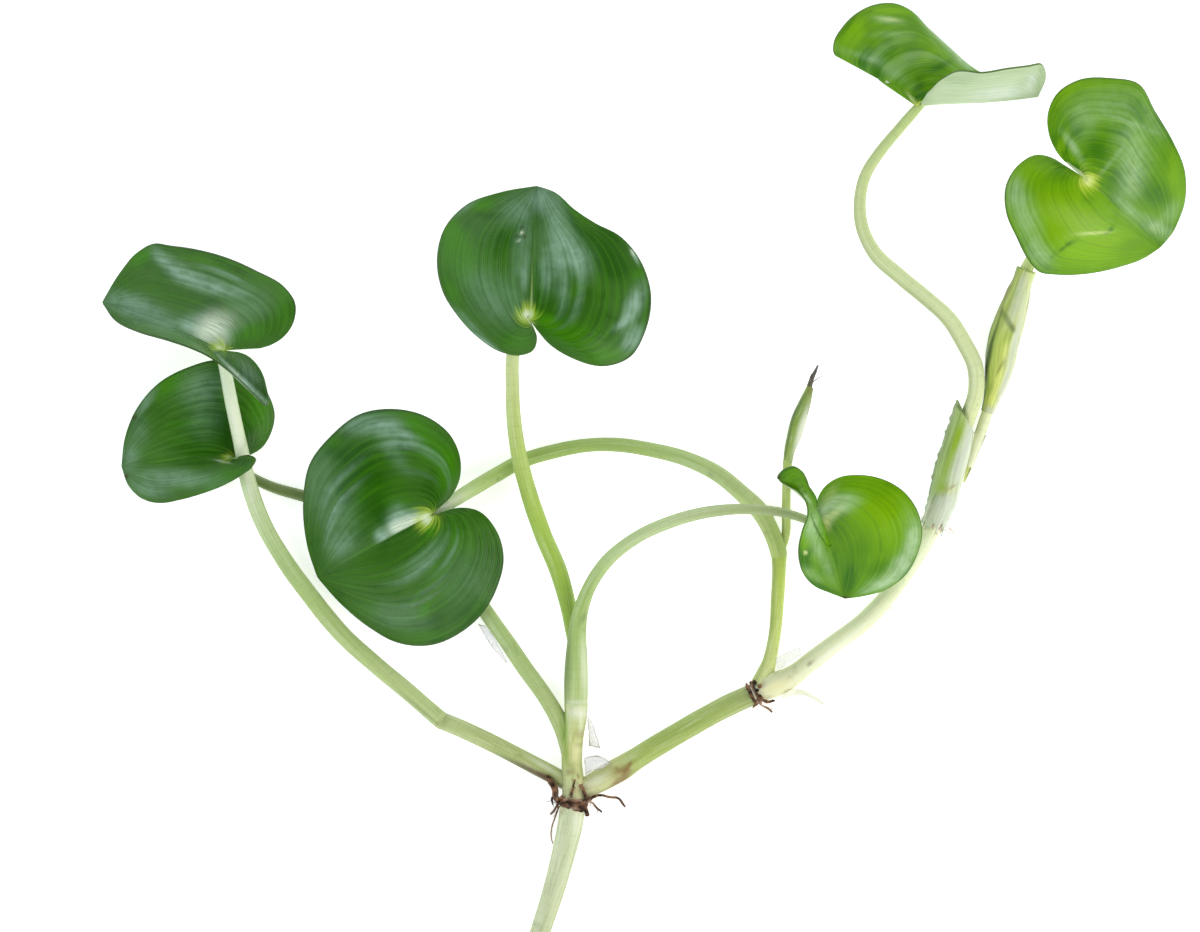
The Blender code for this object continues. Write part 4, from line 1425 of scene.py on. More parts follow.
def leaf_centre() -> Blade:
    """The dark leaf in the middle."""
    return Blade(
        "leaf_centre", "blade_dark", DARK_UPPER, DARK_LOWER, attachment=(-23.6, 34.6, 12.5),
        tip=(-21.6, 60.2, 8),
        first_side=[
            (-21.6, 31.8, 12), (-19.2, 29, 11.8), (-14.4, 26, 10.8), (-8, 24.4, 9.4), (-3, 26.2, 7.8),
            (0, 31.2, 6.4), (1.2, 38.6, 5.6), (-0.6, 44.8, 6), (-5, 50.2, 8), (-10, 52.8, 9.6),
            (-14.2, 55.6, 10.2), (-17.8, 58.8, 9.6),
        ],
        second_side=[
            (-22.4, 32, 11.6), (-21.7, 29.9, 10.8), (-22.4, 27.6, 9.9), (-25, 26.6, 9.2),
            (-28.6, 27.2, 8.4), (-33.4, 30.2, 6.8), (-37.4, 34.4, 5.4), (-40.4, 39.2, 4.4),
            (-41.6, 45.2, 4), (-40.2, 51.6, 4.4), (-35.8, 56.4, 5.8), (-29, 58.9, 7.4),
        ],
        swell=(1.8, 0.9, 1.8), midrib=1, seed=3,
        patches=(
            *on(
                first, pale(-17.2, 53, 6.6, 2.2, -72, 0.62), pale(-15.6, 47, 5, 3.4, -40, 0.55),
                streak(-19.4, 43.2, 0.12, 0.07, 0.5), streak(-16.6, 42, 0.11, 0.05, 0.4),
                streak(-13, 45.4, 0.08, 0.09, 0.4), streak(-17.6, 46.4, 0.1, 0.04, 0.35),
                # dark at -22.7, 40.6 is painted shade in the midrib's groove, dark at -14.4, 53 painted shade
                # in a crease
                dark(-22.7, 40.6, 4.2, 0.22, 86, 0.75), dark(-20.2, 53.4, 3.2, 0.35, 84, 0.55),
                dark(-14.4, 53, 3.6, 0.7, -62, 1), dark(-8.2, 46.4, 4.6, 3.6, -20, 1),
                dark(-5.6, 43.4, 3, 2.4, 0, 0.8), dark(-12, 50.6, 2.6, 1, -35, 0.6),
                dark(-12.2, 34.4, 6, 2, -4, 0.35), dark(-11.6, 41.6, 0.8, 0.5, 50, 0.8),
                dark(-19, 36.8, 2.6, 0.9, 35, 0.45), fresh(-13, 30, 8.6, 3, -20, 0.75),
                fresh(-19.4, 33.2, 2.6, 1.6, -30, 0.7), fresh(-14, 39.4, 3, 1, 30, 0.4),
                fresh(-7.6, 26.4, 4, 1.2, 8, 0.7), fresh(-1.6, 42.6, 1.2, 1, 0, 0.9),
                pale(-2.2, 46.4, 1.8, 0.45, -62, 0.95), lemon(-2.6, 47, 0.6, 0.3, -60, 0.7),
                pale(-2.4, 36.4, 4.4, 1.6, 68, 0.9), pale(-4.6, 33, 2.4, 0.8, 40, 0.6),
                pale(-2.6, 29.8, 2.8, 1.8, 55, 0.85), dark(-6.8, 34, 1.6, 0.5, -35, 0.8),
                dark(-5.8, 31.2, 1.8, 0.4, 25, 0.8), dark(-9, 29.8, 2.6, 0.4, -15, 0.5),
                dark(-1.2, 33.4, 0.9, 0.4, 50, 0.7), dark(-4.4, 37.6, 0.8, 0.3, 40, 0.6),
                fresh(-22.1, 34.6, 1.4, 1.1, 0, 0.7),
            ),
            *on(
                second, pale(-24.4, 47, 8, 1.9, 86, 0.42), streak(-24.2, 42, 0.1, 0.03, 0.4),
                pale(-26, 55.4, 3.6, 2.8, 20, 0.35), pale(-30, 38, 7, 4, -40, 0.3),
                pale(-31.6, 28.9, 3.6, 0.7, -34, 0.7), pale(-35.4, 33, 4.6, 1, -45, 0.35),
                pale(-36, 56, 3.6, 0.8, 35, 0.35), fresh(-37, 46.4, 6.6, 3.4, -72, 1),
                fresh(-38.4, 51, 3.4, 1.6, -60, 0.8), fresh(-31, 46, 5, 2.4, -80, 0.3),
                fresh(-32.4, 56.4, 2.4, 1.1, 15, 0.9), dark(-30.2, 54.2, 2.4, 0.7, 5, 0.8),
                dark(-32.6, 54.6, 0.8, 0.5, 0, 0.7), dark(-26.4, 54.6, 1, 0.4, -35, 0.6),
                fresh(-38.4, 39.4, 2.4, 1, -60, 0.6), dark(-29.6, 34, 5.6, 0.5, -24, 0.35),
                fresh(-25.6, 29.4, 3, 1.8, 0, 0.6), dark(-25.5, 40, 3.4, 0.3, 80, 0.3),
                rust(-24.6, 52, 0.4, 0.2, 25, 0.8), rust(-25.7, 50.2, 0.36, 0.22, 60, 0.8),
                rust(-24.1, 50.1, 0.3, 0.4, 0, 0.7), lemon(-24.6, 50.9, 0.4, 0.3, 40, 1),
                lemon(-25.2, 49.3, 0.4, 0.22, 20, 0.7), rust(-26.4, 54.4, 0.35, 0.22, -30, 0.5),
            ),
            pale(-21, 57.6, 2.6, 2.2, 90, 0.5), dark(-22.2, 50.6, 5, 0.3, 84, 0.6),
            streak(-16, 37.4, 0.12, 0.04, 0.3), streak(-13, 38, 0.12, 0.03, 0.3),
            streak(-15, 33.6, 0.12, 0.02, 0.25), groove(-10, 32, 0.14, 0.03, 0.4),
            lemon(-22.8, 33, 1.4, 0.3, -52, 0.8),
        ),
    )


def leaf_left() -> Blade:
    """The largest leaf, left of the middle."""
    return Blade(
        "leaf_left", "blade_dark", DARK_UPPER, DARK_LOWER, attachment=(-43.6, -6, 9),
        tip=(-65.4, -17.8, 3.6),
        first_side=[
            (-42, -4.2, 9.2), (-39.2, -2, 9.4), (-37.2, 1.6, 9.4), (-37, 6, 9.2), (-39, 10.6, 8.4),
            (-43.4, 14.1, 7.4), (-50, 15.8, 6.4), (-57, 14.8, 5.8), (-63, 10.2, 5.4), (-66.8, 5.2, 5.1),
            (-68.2, -2.4, 4.9), (-67.4, -11.4, 4.4),
        ],
        second_side=[
            (-41.6, -5.8, 9.2), (-38, -4.2, 9.4), (-33.4, -4.6, 9), (-29.6, -8.8, 7.8),
            (-28.3, -14.4, 6.4), (-29.4, -19.4, 5.3), (-31.8, -24.2, 4.5), (-36.6, -28.8, 2.6),
            (-42.6, -31.4, 0.7), (-49, -31.1, 0.4), (-54.8, -28, 0.9), (-60.6, -23.2, 2),
        ],
        swell=(1.6, 0.8, 1.4), midrib=0, star_reach=3.9, seed=4,
        patches=(
            *on(
                first, pale(-55.4, 12.6, 5.4, 2.1, 0, 0.62), pale(-50.2, 11.4, 3.6, 2, -30, 0.5),
                pale(-50.4, 7.6, 5, 1.6, -55, 0.25), pale(-47, 10.2, 2.6, 0.9, -20, 0.45),
                dark(-53, 12.8, 0.9, 0.4, 60, 0.5), dark(-55.6, 14.4, 1.8, 0.4, -10, 0.5),
                fresh(-43, 9, 6.4, 2.4, -52, 0.9), fresh(-39.4, 3.8, 4.6, 1.8, 80, 0.7),
                fresh(-46.8, 13, 2.4, 1.2, -25, 0.7), dark(-59.6, 6.4, 5, 1.6, -16, 1),
                fresh(-62.6, 8.4, 2.4, 1.2, 30, 0.8), dark(-55.4, 2.6, 5.4, 2.6, -10, 0.8),
                dark(-54, -3.6, 3.4, 4, 0, 0.9), fresh(-53.8, -1, 3, 3.4, 0, 0.5),
                pale(-64.8, 1.4, 2.8, 5.8, 0, 0.24), pale(-60.8, -6.6, 3.6, 5, 0, 0.26),
                # Painted glare wedge near the foot: pale and yellow-white streaks, with a dark line
                streak(-47.6, -6.9, 0.13, 0.1, 1), streak(-49, -6.7, 0.06, 0.12, 1),
                glint(-47.2, -6.8, 0.12, 0.06, 0.75), glint(-49.2, -7.8, 0.05, 0.05, 0.6),
                streak(-52.9, -9.6, 0.035, 0.06, 0.9), groove(-52, -6.2, 0.035, 0.1, 0.8),
                glint(-45, -6.2, 0.08, 0.05, 0.7),
            ),
            *on(
                second, dark(-48.2, -8.6, 3.8, 0.7, 26, 0.9), dark(-50.6, -13.2, 5, 2.4, 25, 0.4),
                fresh(-43, -8.2, 1.2, 1.6, 0, 0.9), fresh(-36.4, -10, 5, 3, -40, 0.25),
                pale(-36, -18, 5, 6, 0, 0.16), pale(-49, -25.6, 6, 2.6, -10, 0.25),
                fresh(-44, -24.4, 2, 0.9, 60, 0.9), fresh(-43.4, -29.2, 4.4, 1, 0, 0.5),
                fresh(-45.6, -21.6, 1.6, 0.5, 60, 0.5),
            ),
            streak(-42.6, 7.4, 0.16, 0.03, 0.25), streak(-46.2, 8, 0.12, 0.03, 0.3),
            streak(-40.4, 4, 0.12, 0.025, 0.25), streak(-44.6, 3, 0.1, 0.025, 0.2),
            dark(-56.8, -9.6, 3, 2, 20, 0.6), streak(-61.6, 1.2, 0.1, 0.03, 0.4),
            streak(-60.4, -2.6, 0.1, 0.03, 0.4), streak(-62.4, -7, 0.08, 0.05, 0.3),
            pale(-60.8, -11.6, 3.4, 2.4, 20, 0.3), dark(-64.6, -14.6, 1.4, 3, 20, 0.5),
            streak(-43.6, -13.6, 0.14, 0.06, 0.34), streak(-40.8, -12.4, 0.14, 0.03, 0.3),
            streak(-38.8, -13, 0.12, 0.02, 0.35), streak(-46.4, -17.4, 0.12, 0.035, 0.35),
            streak(-42.6, -20, 0.1, 0.02, 0.3), streak(-44.6, -22.4, 0.1, 0.02, 0.25),
        ),
    )


def leaf_folded() -> Blade:
    """The small bright leaf with the twisted lobe."""
    return Blade(
        "leaf_folded", "blade_bright", BRIGHT_UPPER, BRIGHT_LOWER, attachment=(35, -7.6, 11),
        tip=(39.8, -22, 5.5),
        first_side=[
            (34.2, -5.2, 13), (34.1, -2.2, 16), (32.4, 0.8, 19), (31.1, 3.4, 20), (29.6, 4.3, 20),
            (27.6, 3.8, 18.8), (26.3, 2, 17.2), (28.2, 0.6, 18.6), (30.4, -0.7, 19.6), (32, -2.8, 19.8),
            (32.3, -5.2, 19.2), (31.3, -8.2, 18.2), (30.5, -12.2, 16.6), (31.4, -16.8, 13.6),
            (33.4, -19.3, 11), (36.2, -20.6, 8),
        ],
        second_side=[
            (34.6, -4.8, 11.6), (34.5, -2.2, 12.2), (35.8, 0.2, 12.8), (38.6, 2.1, 13.2),
            (42.6, 2.6, 13.6), (47.2, 1.8, 13.6), (51.4, -0.6, 13), (54.2, -4.4, 12.2), (55.2, -8.4, 11),
            (54.4, -12.8, 9.6), (52, -17.2, 8), (48, -20.2, 6.8), (43.8, -21.4, 6),
        ],
        swell=(-0.4, 0.6, 1.4), fold=0.06, midrib=0, star_reach=1.6, seed=5,
        neck=((34.1, -3, 15.2), (32.1, -3.2, 19.7)),
        patches=(
            *on(
                first, pale(33.6, -8.6, 5, 1.5, -84, 0.4), pale(35.6, -14.4, 5, 1.1, -68, 0.4),
                pale(31.9, -1.7, 2, 0.4, -60, 0.8), dark(30, 2.2, 3.6, 2, 10, 0.35),
                dark(33.4, -0.8, 2.6, 0.5, -68, 0.7), pale(32.8, -7.4, 2.4, 1.2, 75, 0.45),
                rust(26.5, 2.1, 0.8, 0.6, 0, 0.9), dark(27.2, 3, 1.4, 0.9, 60, 0.9),
                dark(28.8, 3.9, 2.4, 0.4, 20, 0.7), dark(31.8, -14.6, 2, 1.3, -72, 1),
                dark(32.6, -12.6, 1.6, 0.8, 40, 0.8), lemon(31.8, -12.8, 0.42, 0.38, 0, 1),
                fresh(30.9, -11, 3.4, 0.6, 80, 0.3), dark(30.7, -13.6, 4, 0.4, 88, 0.7),
                dark(33.4, -18.8, 3.6, 0.7, -32, 0.8), pale(33.2, -17.2, 2.4, 1, -35, 0.4),
                dark(36, -20, 3, 0.6, -20, 0.6),
            ),
            *on(
                second, lemon(36.6, -1.4, 2.8, 1, 52, 0.3), pale(39, -3.8, 3.4, 1.6, 22, 0.6),
                pale(36, -5, 1.6, 2, 0, 0.7), lemon(36, -7, 1.1, 1.6, 0, 0.9),
                lemon(37.6, -5.2, 2.2, 0.8, 40, 0.5), dark(35.9, -11.6, 5.6, 0.6, -72, 0.7),
                dark(40.8, -18.6, 3, 1.2, 82, 1), dark(41.6, -14.6, 5.4, 2.6, 72, 0.5),
                dark(46.6, -16, 2.6, 1.6, 30, 0.5), dark(38.6, -8.6, 3.4, 1.4, -50, 0.3),
                fresh(49.4, -6.6, 5, 6, 0, 0.9), fresh(42.6, -3.4, 4.4, 4, 0, 0.5),
                streak(52.6, -13.2, 0.15, 0.1, 0.75), streak(49.4, -17.4, 0.11, 0.12, 0.7),
                streak(45.4, -19.6, 0.08, 0.16, 0.6), pale(53.4, -9.6, 2.4, 1.1, 68, 0.5),
                pale(50.2, -14.6, 2.2, 0.9, 50, 0.3), dark(55, -12, 4.6, 0.35, 72, 0.5),
                dark(49.9, -19.9, 3.6, 0.3, 28, 0.5), streak(39.4, -2, 0.08, 0.12, 0.35),
                streak(37.4, -3.2, 0.08, 0.16, 0.6),
            ),
            rust(39.9, -21.9, 0.8, 0.5, 0, 0.9),
        ),
    )


def leaf_top() -> Blade:
    """The uppermost leaf, one half curled over."""
    return Blade(
        "leaf_top", "blade_bright", BRIGHT_UPPER, BRIGHT_LOWER, attachment=(54.6, 76, 8),
        tip=(78.4, 78.2, 7),
        first_side=[
            (55.6, 77.4, 11), (56.9, 79.4, 15), (59, 81.4, 18.4), (62, 82.9, 20.4), (67.2, 82.6, 21),
            (72, 83.4, 20), (76.2, 84, 17.4), (79, 84.4, 14), (79.8, 81.8, 10),
        ],
        second_side=[
            (53.3, 76.9, 7.8), (50.3, 79, 7), (47.2, 81.2, 5.9), (44.6, 83.4, 4.8), (41.6, 85.8, 3.5),
            (37.8, 86.8, 2.4), (37.8, 89.2, 2), (39.4, 92, 1.6), (42.2, 94.8, 1.1), (46, 96.6, 0.8),
            (50.4, 96.7, 0.6), (52.8, 95.6, 0.5), (56.6, 92, 0.4), (61, 87.8, 0.4), (65.4, 84, 1),
            (71.6, 80.8, 3),
        ],
        swell=(0.8, -0.8, 1.2), bow=(0, -0.7), fold=0.06, midrib=0, star_reach=2.2, seed=6,
        patches=(
            *on(
                # The dark marks along the flap's upper edge, at 64.6, 81.6 and 72, 82.8, are painted shade
                first, dark(64.6, 81.6, 4.6, 1.6, -12, 0.4), fresh(59.4, 79.4, 3, 1.6, 20, 0.35),
                pale(70.6, 78.8, 6, 1.4, 8, 0.7), pale(77, 81.4, 1.8, 1.2, 60, 0.7),
                dark(78.8, 83.2, 0.5, 1.6, 0, 0.6), dark(72, 82.8, 6, 0.4, 5, 0.5),
                dark(66, 76.6, 8, 0.3, 3, 0.5),
            ),
            *on(
                second, lemon(48.9, 93.6, 2.2, 0.4, -8, 0.6), pale(48.7, 93.4, 2.8, 0.7, -8, 0.6),
                pale(49.4, 90.6, 4.2, 0.7, 2, 0.3), streak(55.6, 86.4, 0.16, 0.04, 0.3),
                streak(51.6, 84, 0.12, 0.05, 0.2), streak(47.6, 88, 0.12, 0.04, 0.2),
                pale(48.2, 84, 6.4, 1.3, -38, 0.25), pale(43.4, 86.2, 4, 0.6, -20, 0.3),
                pale(57.6, 91.6, 4.4, 0.8, -46, 0.8), pale(61.4, 87.6, 4.6, 0.9, -44, 0.8),
                pale(64, 84.6, 2.6, 1, -30, 0.5), fresh(45, 92, 5, 3, 20, 0.5),
                # dark at 59, 84.2 is painted shadow under the flap's edge
                dark(54.6, 79.2, 3.2, 1.2, 84, 1), dark(59, 84.2, 3, 0.7, 25, 0.9),
                dark(44.6, 90.4, 5, 1, 85, 0.25), dark(53.4, 88, 1.4, 3.4, -10, 0.35),
                dark(48, 87.8, 5, 0.7, 6, 0.3), fresh(41.6, 90.6, 2.4, 4.4, -20, 0.5),
                fresh(50, 95.4, 5, 0.7, -4, 0.7), fresh(56.6, 86.4, 2.2, 1.2, 30, 0.8),
                dark(40.6, 92.4, 4, 0.5, 52, 0.7), lemon(53.2, 77.6, 1.6, 0.4, -52, 0.6),
                dark(52, 77, 3.6, 0.3, -38, 0.5), dark(38.2, 86.8, 1, 0.4, -30, 0.7),
            ),
        ),
    )


def leaf_right() -> Blade:
    """The bright leaf at the top right."""
    return Blade(
        "leaf_right", "blade_bright", BRIGHT_UPPER, BRIGHT_LOWER, attachment=(88.4, 61.2, 10),
        tip=(103, 48.2, 0.7),
        first_side=[
            (86.6, 61.9, 9.2), (84.2, 63.5, 8.8), (81.6, 65.5, 8.8), (78, 66.3, 9), (74.4, 64.2, 9.6),
            (72, 60.2, 10), (72, 54.8, 10.3), (74, 50, 10), (76.4, 45.4, 9.4), (78.4, 43.2, 8.4),
            (82, 42.6, 6.6), (88, 42.8, 4.4), (94.6, 44.2, 2.6), (99.6, 46, 1.3),
        ],
        second_side=[
            (87, 63, 10.6), (84.8, 64.4, 11.2), (82.4, 66.6, 11.2), (80.6, 70.4, 10.8),
            (80.4, 74.6, 10.2), (82.2, 78.6, 9.6), (86.6, 81.4, 9), (93, 81.8, 8), (98.4, 80.8, 6.8),
            (101.8, 75.4, 5), (105.4, 69.4, 3.2), (107.8, 63.6, 1.6), (107.8, 57, 0.6), (106, 52, 0.4),
        ],
        swell=(1.2, 1, 1.2), midrib=0.45, star_reach=3.6, seed=7,
        patches=(
            *on(
                first, fresh(85, 53.6, 9, 7, 0, 1), fresh(92, 48, 9, 4, 8, 0.9),
                fresh(77, 63, 3.6, 2.4, 20, 0.7), lemon(85.6, 53.6, 6.4, 2.6, -20, 0.12),
                dark(81.8, 61.8, 2.4, 1, 0, 0.25), dark(88.4, 57.6, 1.4, 1, 0, 0.35),
                pale(76.2, 53.4, 7, 2.4, -72, 0.5), pale(79, 46.4, 2.8, 2, -40, 0.5),
                pale(73.6, 59, 1.8, 3.8, 0, 0.35), lemon(89.2, 50.9, 3.6, 0.32, 4, 0.75),
                dark(92.9, 51.7, 0.9, 0.4, 45, 0.9), dark(91.8, 50.9, 0.5, 0.3, 0, 0.7),
                dark(83.8, 48.2, 2.4, 0.32, 32, 0.9), dark(81.2, 46.4, 0.9, 0.25, 50, 0.8),
                dark(84.6, 49, 1, 0.22, 10, 0.6), dark(96.8, 48.4, 4, 1.6, 20, 0.3),
                lemon(92.4, 58.6, 2.8, 0.5, -45, 0.4),
            ),
            *on(
                second, pale(105, 55, 2.8, 1.6, 55, 0.35), pale(97, 61.4, 4.4, 2.6, 85, 0.5),
                pale(97.4, 68.4, 6, 3.6, 100, 0.45), pale(92.4, 76.6, 7, 3.6, 10, 0.35),
                pale(87, 73, 2.8, 3.8, 0, 0.25), pale(101.4, 73, 3.8, 2, -62, 0.25),
                dark(90.2, 67.4, 2.4, 3.6, 10, 0.9), dark(86, 71.4, 1.2, 2.8, 20, 0.8),
                dark(101.4, 58.4, 4.4, 2.4, -8, 0.7), dark(94.2, 61.8, 2.2, 2.4, 0, 0.6),
                # dark at 86, 63.9 is painted shadow where the upper lobe lies over the lower one at the sinus
                dark(86, 63.9, 2.4, 0.7, -28, 1), dark(87.6, 65.8, 1.2, 0.5, 60, 0.5),
                pale(85, 68.4, 3.4, 0.8, -56, 0.6), fresh(82.8, 68, 3.6, 0.9, 70, 0.7),
                fresh(84, 78.6, 3, 1.2, 50, 0.6), fresh(105.6, 63.4, 1.2, 5, 0, 0.6),
                fresh(90, 80.4, 6, 0.9, 6, 0.4), pale(92.6, 64.8, 4.6, 0.4, 50, 0.3),
                pale(98, 72.4, 5.6, 0.4, -20, 0.3),
            ),
            pale(95.6, 56.6, 3, 0.9, -38, 0.4), pale(99, 53.8, 4.4, 1.4, -25, 0.4),
            pale(102.8, 51.6, 3.2, 1.6, -25, 0.45),
        ),
    )


def leaves() -> list[Blade]:
    """The seven blades."""
    return [leaf_far_left(), leaf_low_left(), leaf_centre(), leaf_left(),
            leaf_folded(), leaf_top(), leaf_right()]


def stems() -> list[Stalk]:
    """The stems between the joints and the two shoots that rise from them."""
    return [
        Stalk(
            "stem_lower", "stem_green",
            StalkFinish(
                (
                    (0, (186, 196, 150)), (0.3, (198, 208, 162)), (0.7, (212, 220, 180)),
                    (1, (204, 214, 168)),
                ),
            ),
            [
                (-23.6, -96.8, 1.9), (-20.8, -88.2, 2), (-17.7, -78.4, 2.2), (-15.9, -71.4, 2.35),
                (-14.6, -64.9, 2.5), (-14.45, -63.2, 2.4, 2.5),
            ],
            patches=(
                rust(-16.6, -64.6, 1.2, 0.5, 60, 0.5), pale(-13.6, -66.4, 2.6, 1, 80, 0.5),
                lemon(-13, -64.4, 1.4, 0.8, 0, 0.5),
            ),
        ),
        Stalk(
            "central_shoot", "stem_green",
            StalkFinish(
                (
                    (0, (206, 210, 158)), (0.25, (196, 206, 140)), (0.5, (204, 204, 132)),
                    (0.75, (196, 208, 134)), (0.94, (216, 224, 170)), (1, (198, 214, 146)),
                ),
            ),
            [
                (-14.4, -63, 2.4, 2.35), (-14.3, -61.5, 2.5, 2.3), (-14.35, -59.4, 2.6, 2.2),
                (-14.6, -55.4, 2.8, 2.05), (-14.5, -50.4, 3.1, 2.1), (-13.8, -44.4, 3.5, 2.3),
                (-13.8, -43, 3.6, 2.34),
            ],
            patches=(
                # The green line down its left side, at -16, -47.6, is painted shade in the gap beside
                # petiole_low_left
                pale(-13.4, -44.8, 1.8, 1.1, 0, 0.75), fresh(-16, -47.6, 4.4, 0.5, 92, 0.8),
                fresh(-15.8, -53.6, 3.4, 0.7, 95, 0.5), lemon(-13.8, -52.6, 1, 2, 0, 0.6),
                rust(-12.8, -48.6, 1.2, 0.25, -6, 0.5), rust(-12.6, -49.6, 1.2, 0.2, -6, 0.4),
                rust(-13.4, -51.2, 1.6, 0.2, -8, 0.4), lemon(-13, -59.8, 1.6, 1.4, 0, 0.8),
                rust(-14.8, -56.6, 1.2, 0.22, 10, 0.8), rust(-13.4, -57.5, 0.9, 0.22, -50, 0.8),
                pale(-12.8, -47, 2.4, 0.4, 88, 0.4), rust(-14.2, -60.6, 1.6, 0.8, 0, 0.35),
            ),
        ),
        Stalk(
            "stem_left", "stem_green",
            StalkFinish(
                ((0, (172, 182, 118)), (0.4, (176, 188, 116)), (1, (186, 200, 138))), rust=(96, 72, 44),
            ),
            [
                (-15.4, -58.9, 1.9, 1.7), (-18.5, -57.3, 1.75), (-25, -53.9, 1.72), (-33.1, -49.8, 1.75),
                (-37, -48, 1.72), (-41, -46.4, 1.7),
            ],
            patches=(
                rust(-18.6, -58.6, 2.8, 1, -35, 0.9), rust(-22.4, -56.6, 4.4, 0.6, -28, 0.8),
                dark(-25, -55.6, 6, 0.5, -27, 0.8), pale(-20.4, -55.4, 3.4, 0.5, -30, 0.4),
                rust(-40.7, -46.5, 1.9, 0.24, 65, 0.9), dark(-40, -46.6, 1.9, 0.6, 65, 0.35),
            ),
        ),
        Stalk(
            "stem_middle", "stem_green",
            StalkFinish(
                (
                    (0, (214, 214, 166)), (0.22, (196, 200, 128)), (0.3, (168, 186, 98)),
                    (0.6, (160, 182, 90)), (0.9, (166, 184, 104)), (1, (150, 164, 106)),
                ),
            ),
            [
                (-13.4, -60.6, 2.2, 1.9), (-10.6, -59.3, 2.2), (-7.2, -57.4, 2.45), (-4.4, -55.8, 2.45),
                (-2.6, -54.6, 2.25), (4.6, -50.2, 2.15), (11.5, -46.2, 2.15), (17.6, -43, 2.15),
                (21.6, -41.2, 2.1),
            ],
            patches=(
                rust(-5.8, -59, 3, 0.5, 38, 0.9), rust(-3.8, -56.8, 1.6, 0.5, 66, 0.9),
                rust(-3.2, -55.2, 0.8, 0.5, 20, 0.8), rust(-6.4, -56, 2.6, 0.5, -12, 0.5),
                rust(-5, -56.6, 1.6, 0.3, -30, 0.6), pale(-9.6, -58.4, 2.2, 0.9, 28, 0.4),
                rust(-4.8, -57.2, 1.7, 2.2, 60, 0.6), dark(-4.2, -58, 2.6, 0.3, 38, 0.6),
            ),
        ),
        Stalk(
            "stem_upper", "stem_green",
            StalkFinish(
                (
                    (0, (234, 230, 190)), (0.2, (226, 228, 184)), (0.5, (226, 236, 184)),
                    (1, (236, 242, 208)),
                ),
                rim=(192, 202, 156), flank_shade_share=0.5, core=0.12,
            ),
            [
                (21.8, -41.1, 2.1), (23.5, -40.4, 2.2), (26, -39.3, 2.45), (28.4, -38.2, 2.25),
                (30.3, -36.9, 2), (33.7, -34.2, 1.9), (37, -31.6, 1.75), (43.7, -26.6, 1.75),
                (47.8, -22.4, 1.75), (52, -16.8, 1.75), (56.6, -9.2, 1.85), (57.6, -7, 1.8, 1.8),
            ],
            patches=(
                rust(33.2, -34.9, 0.5, 0.45, 0, 1), dark(33.2, -34.9, 0.45, 0.4, 0, 0.8),
                lemon(26.4, -39.6, 3, 1.2, 25, 0.7), rust(23.6, -39, 0.9, 0.4, -60, 0.4),
                # The long pale stripe along its lower right side is a painted highlight
                pale(38, -32, 9, 0.7, 38, 0.6), rust(26.2, -37, 1.2, 0.25, -35, 0.4),
            ),
        ),
        Stalk(
            "shoot_upright", "stem_green",
            StalkFinish(
                (
                    (0, (222, 228, 160)), (0.25, (212, 226, 142)), (0.5, (196, 214, 110)),
                    (1, (178, 200, 84)),
                ),
                rim=(140, 156, 78), flank_shade_share=0.65, core=0.14,
            ),
            [
                (23, -39.6, 2), (24, -37.2, 1.75), (24.8, -34.8, 1.4), (25.4, -32.1, 1.24),
                (26, -28.7, 1.2), (26.5, -22, 1.3), (26.8, -15.6, 1.38), (26.8, -13.2, 1.55),
            ],
        ),
    ]


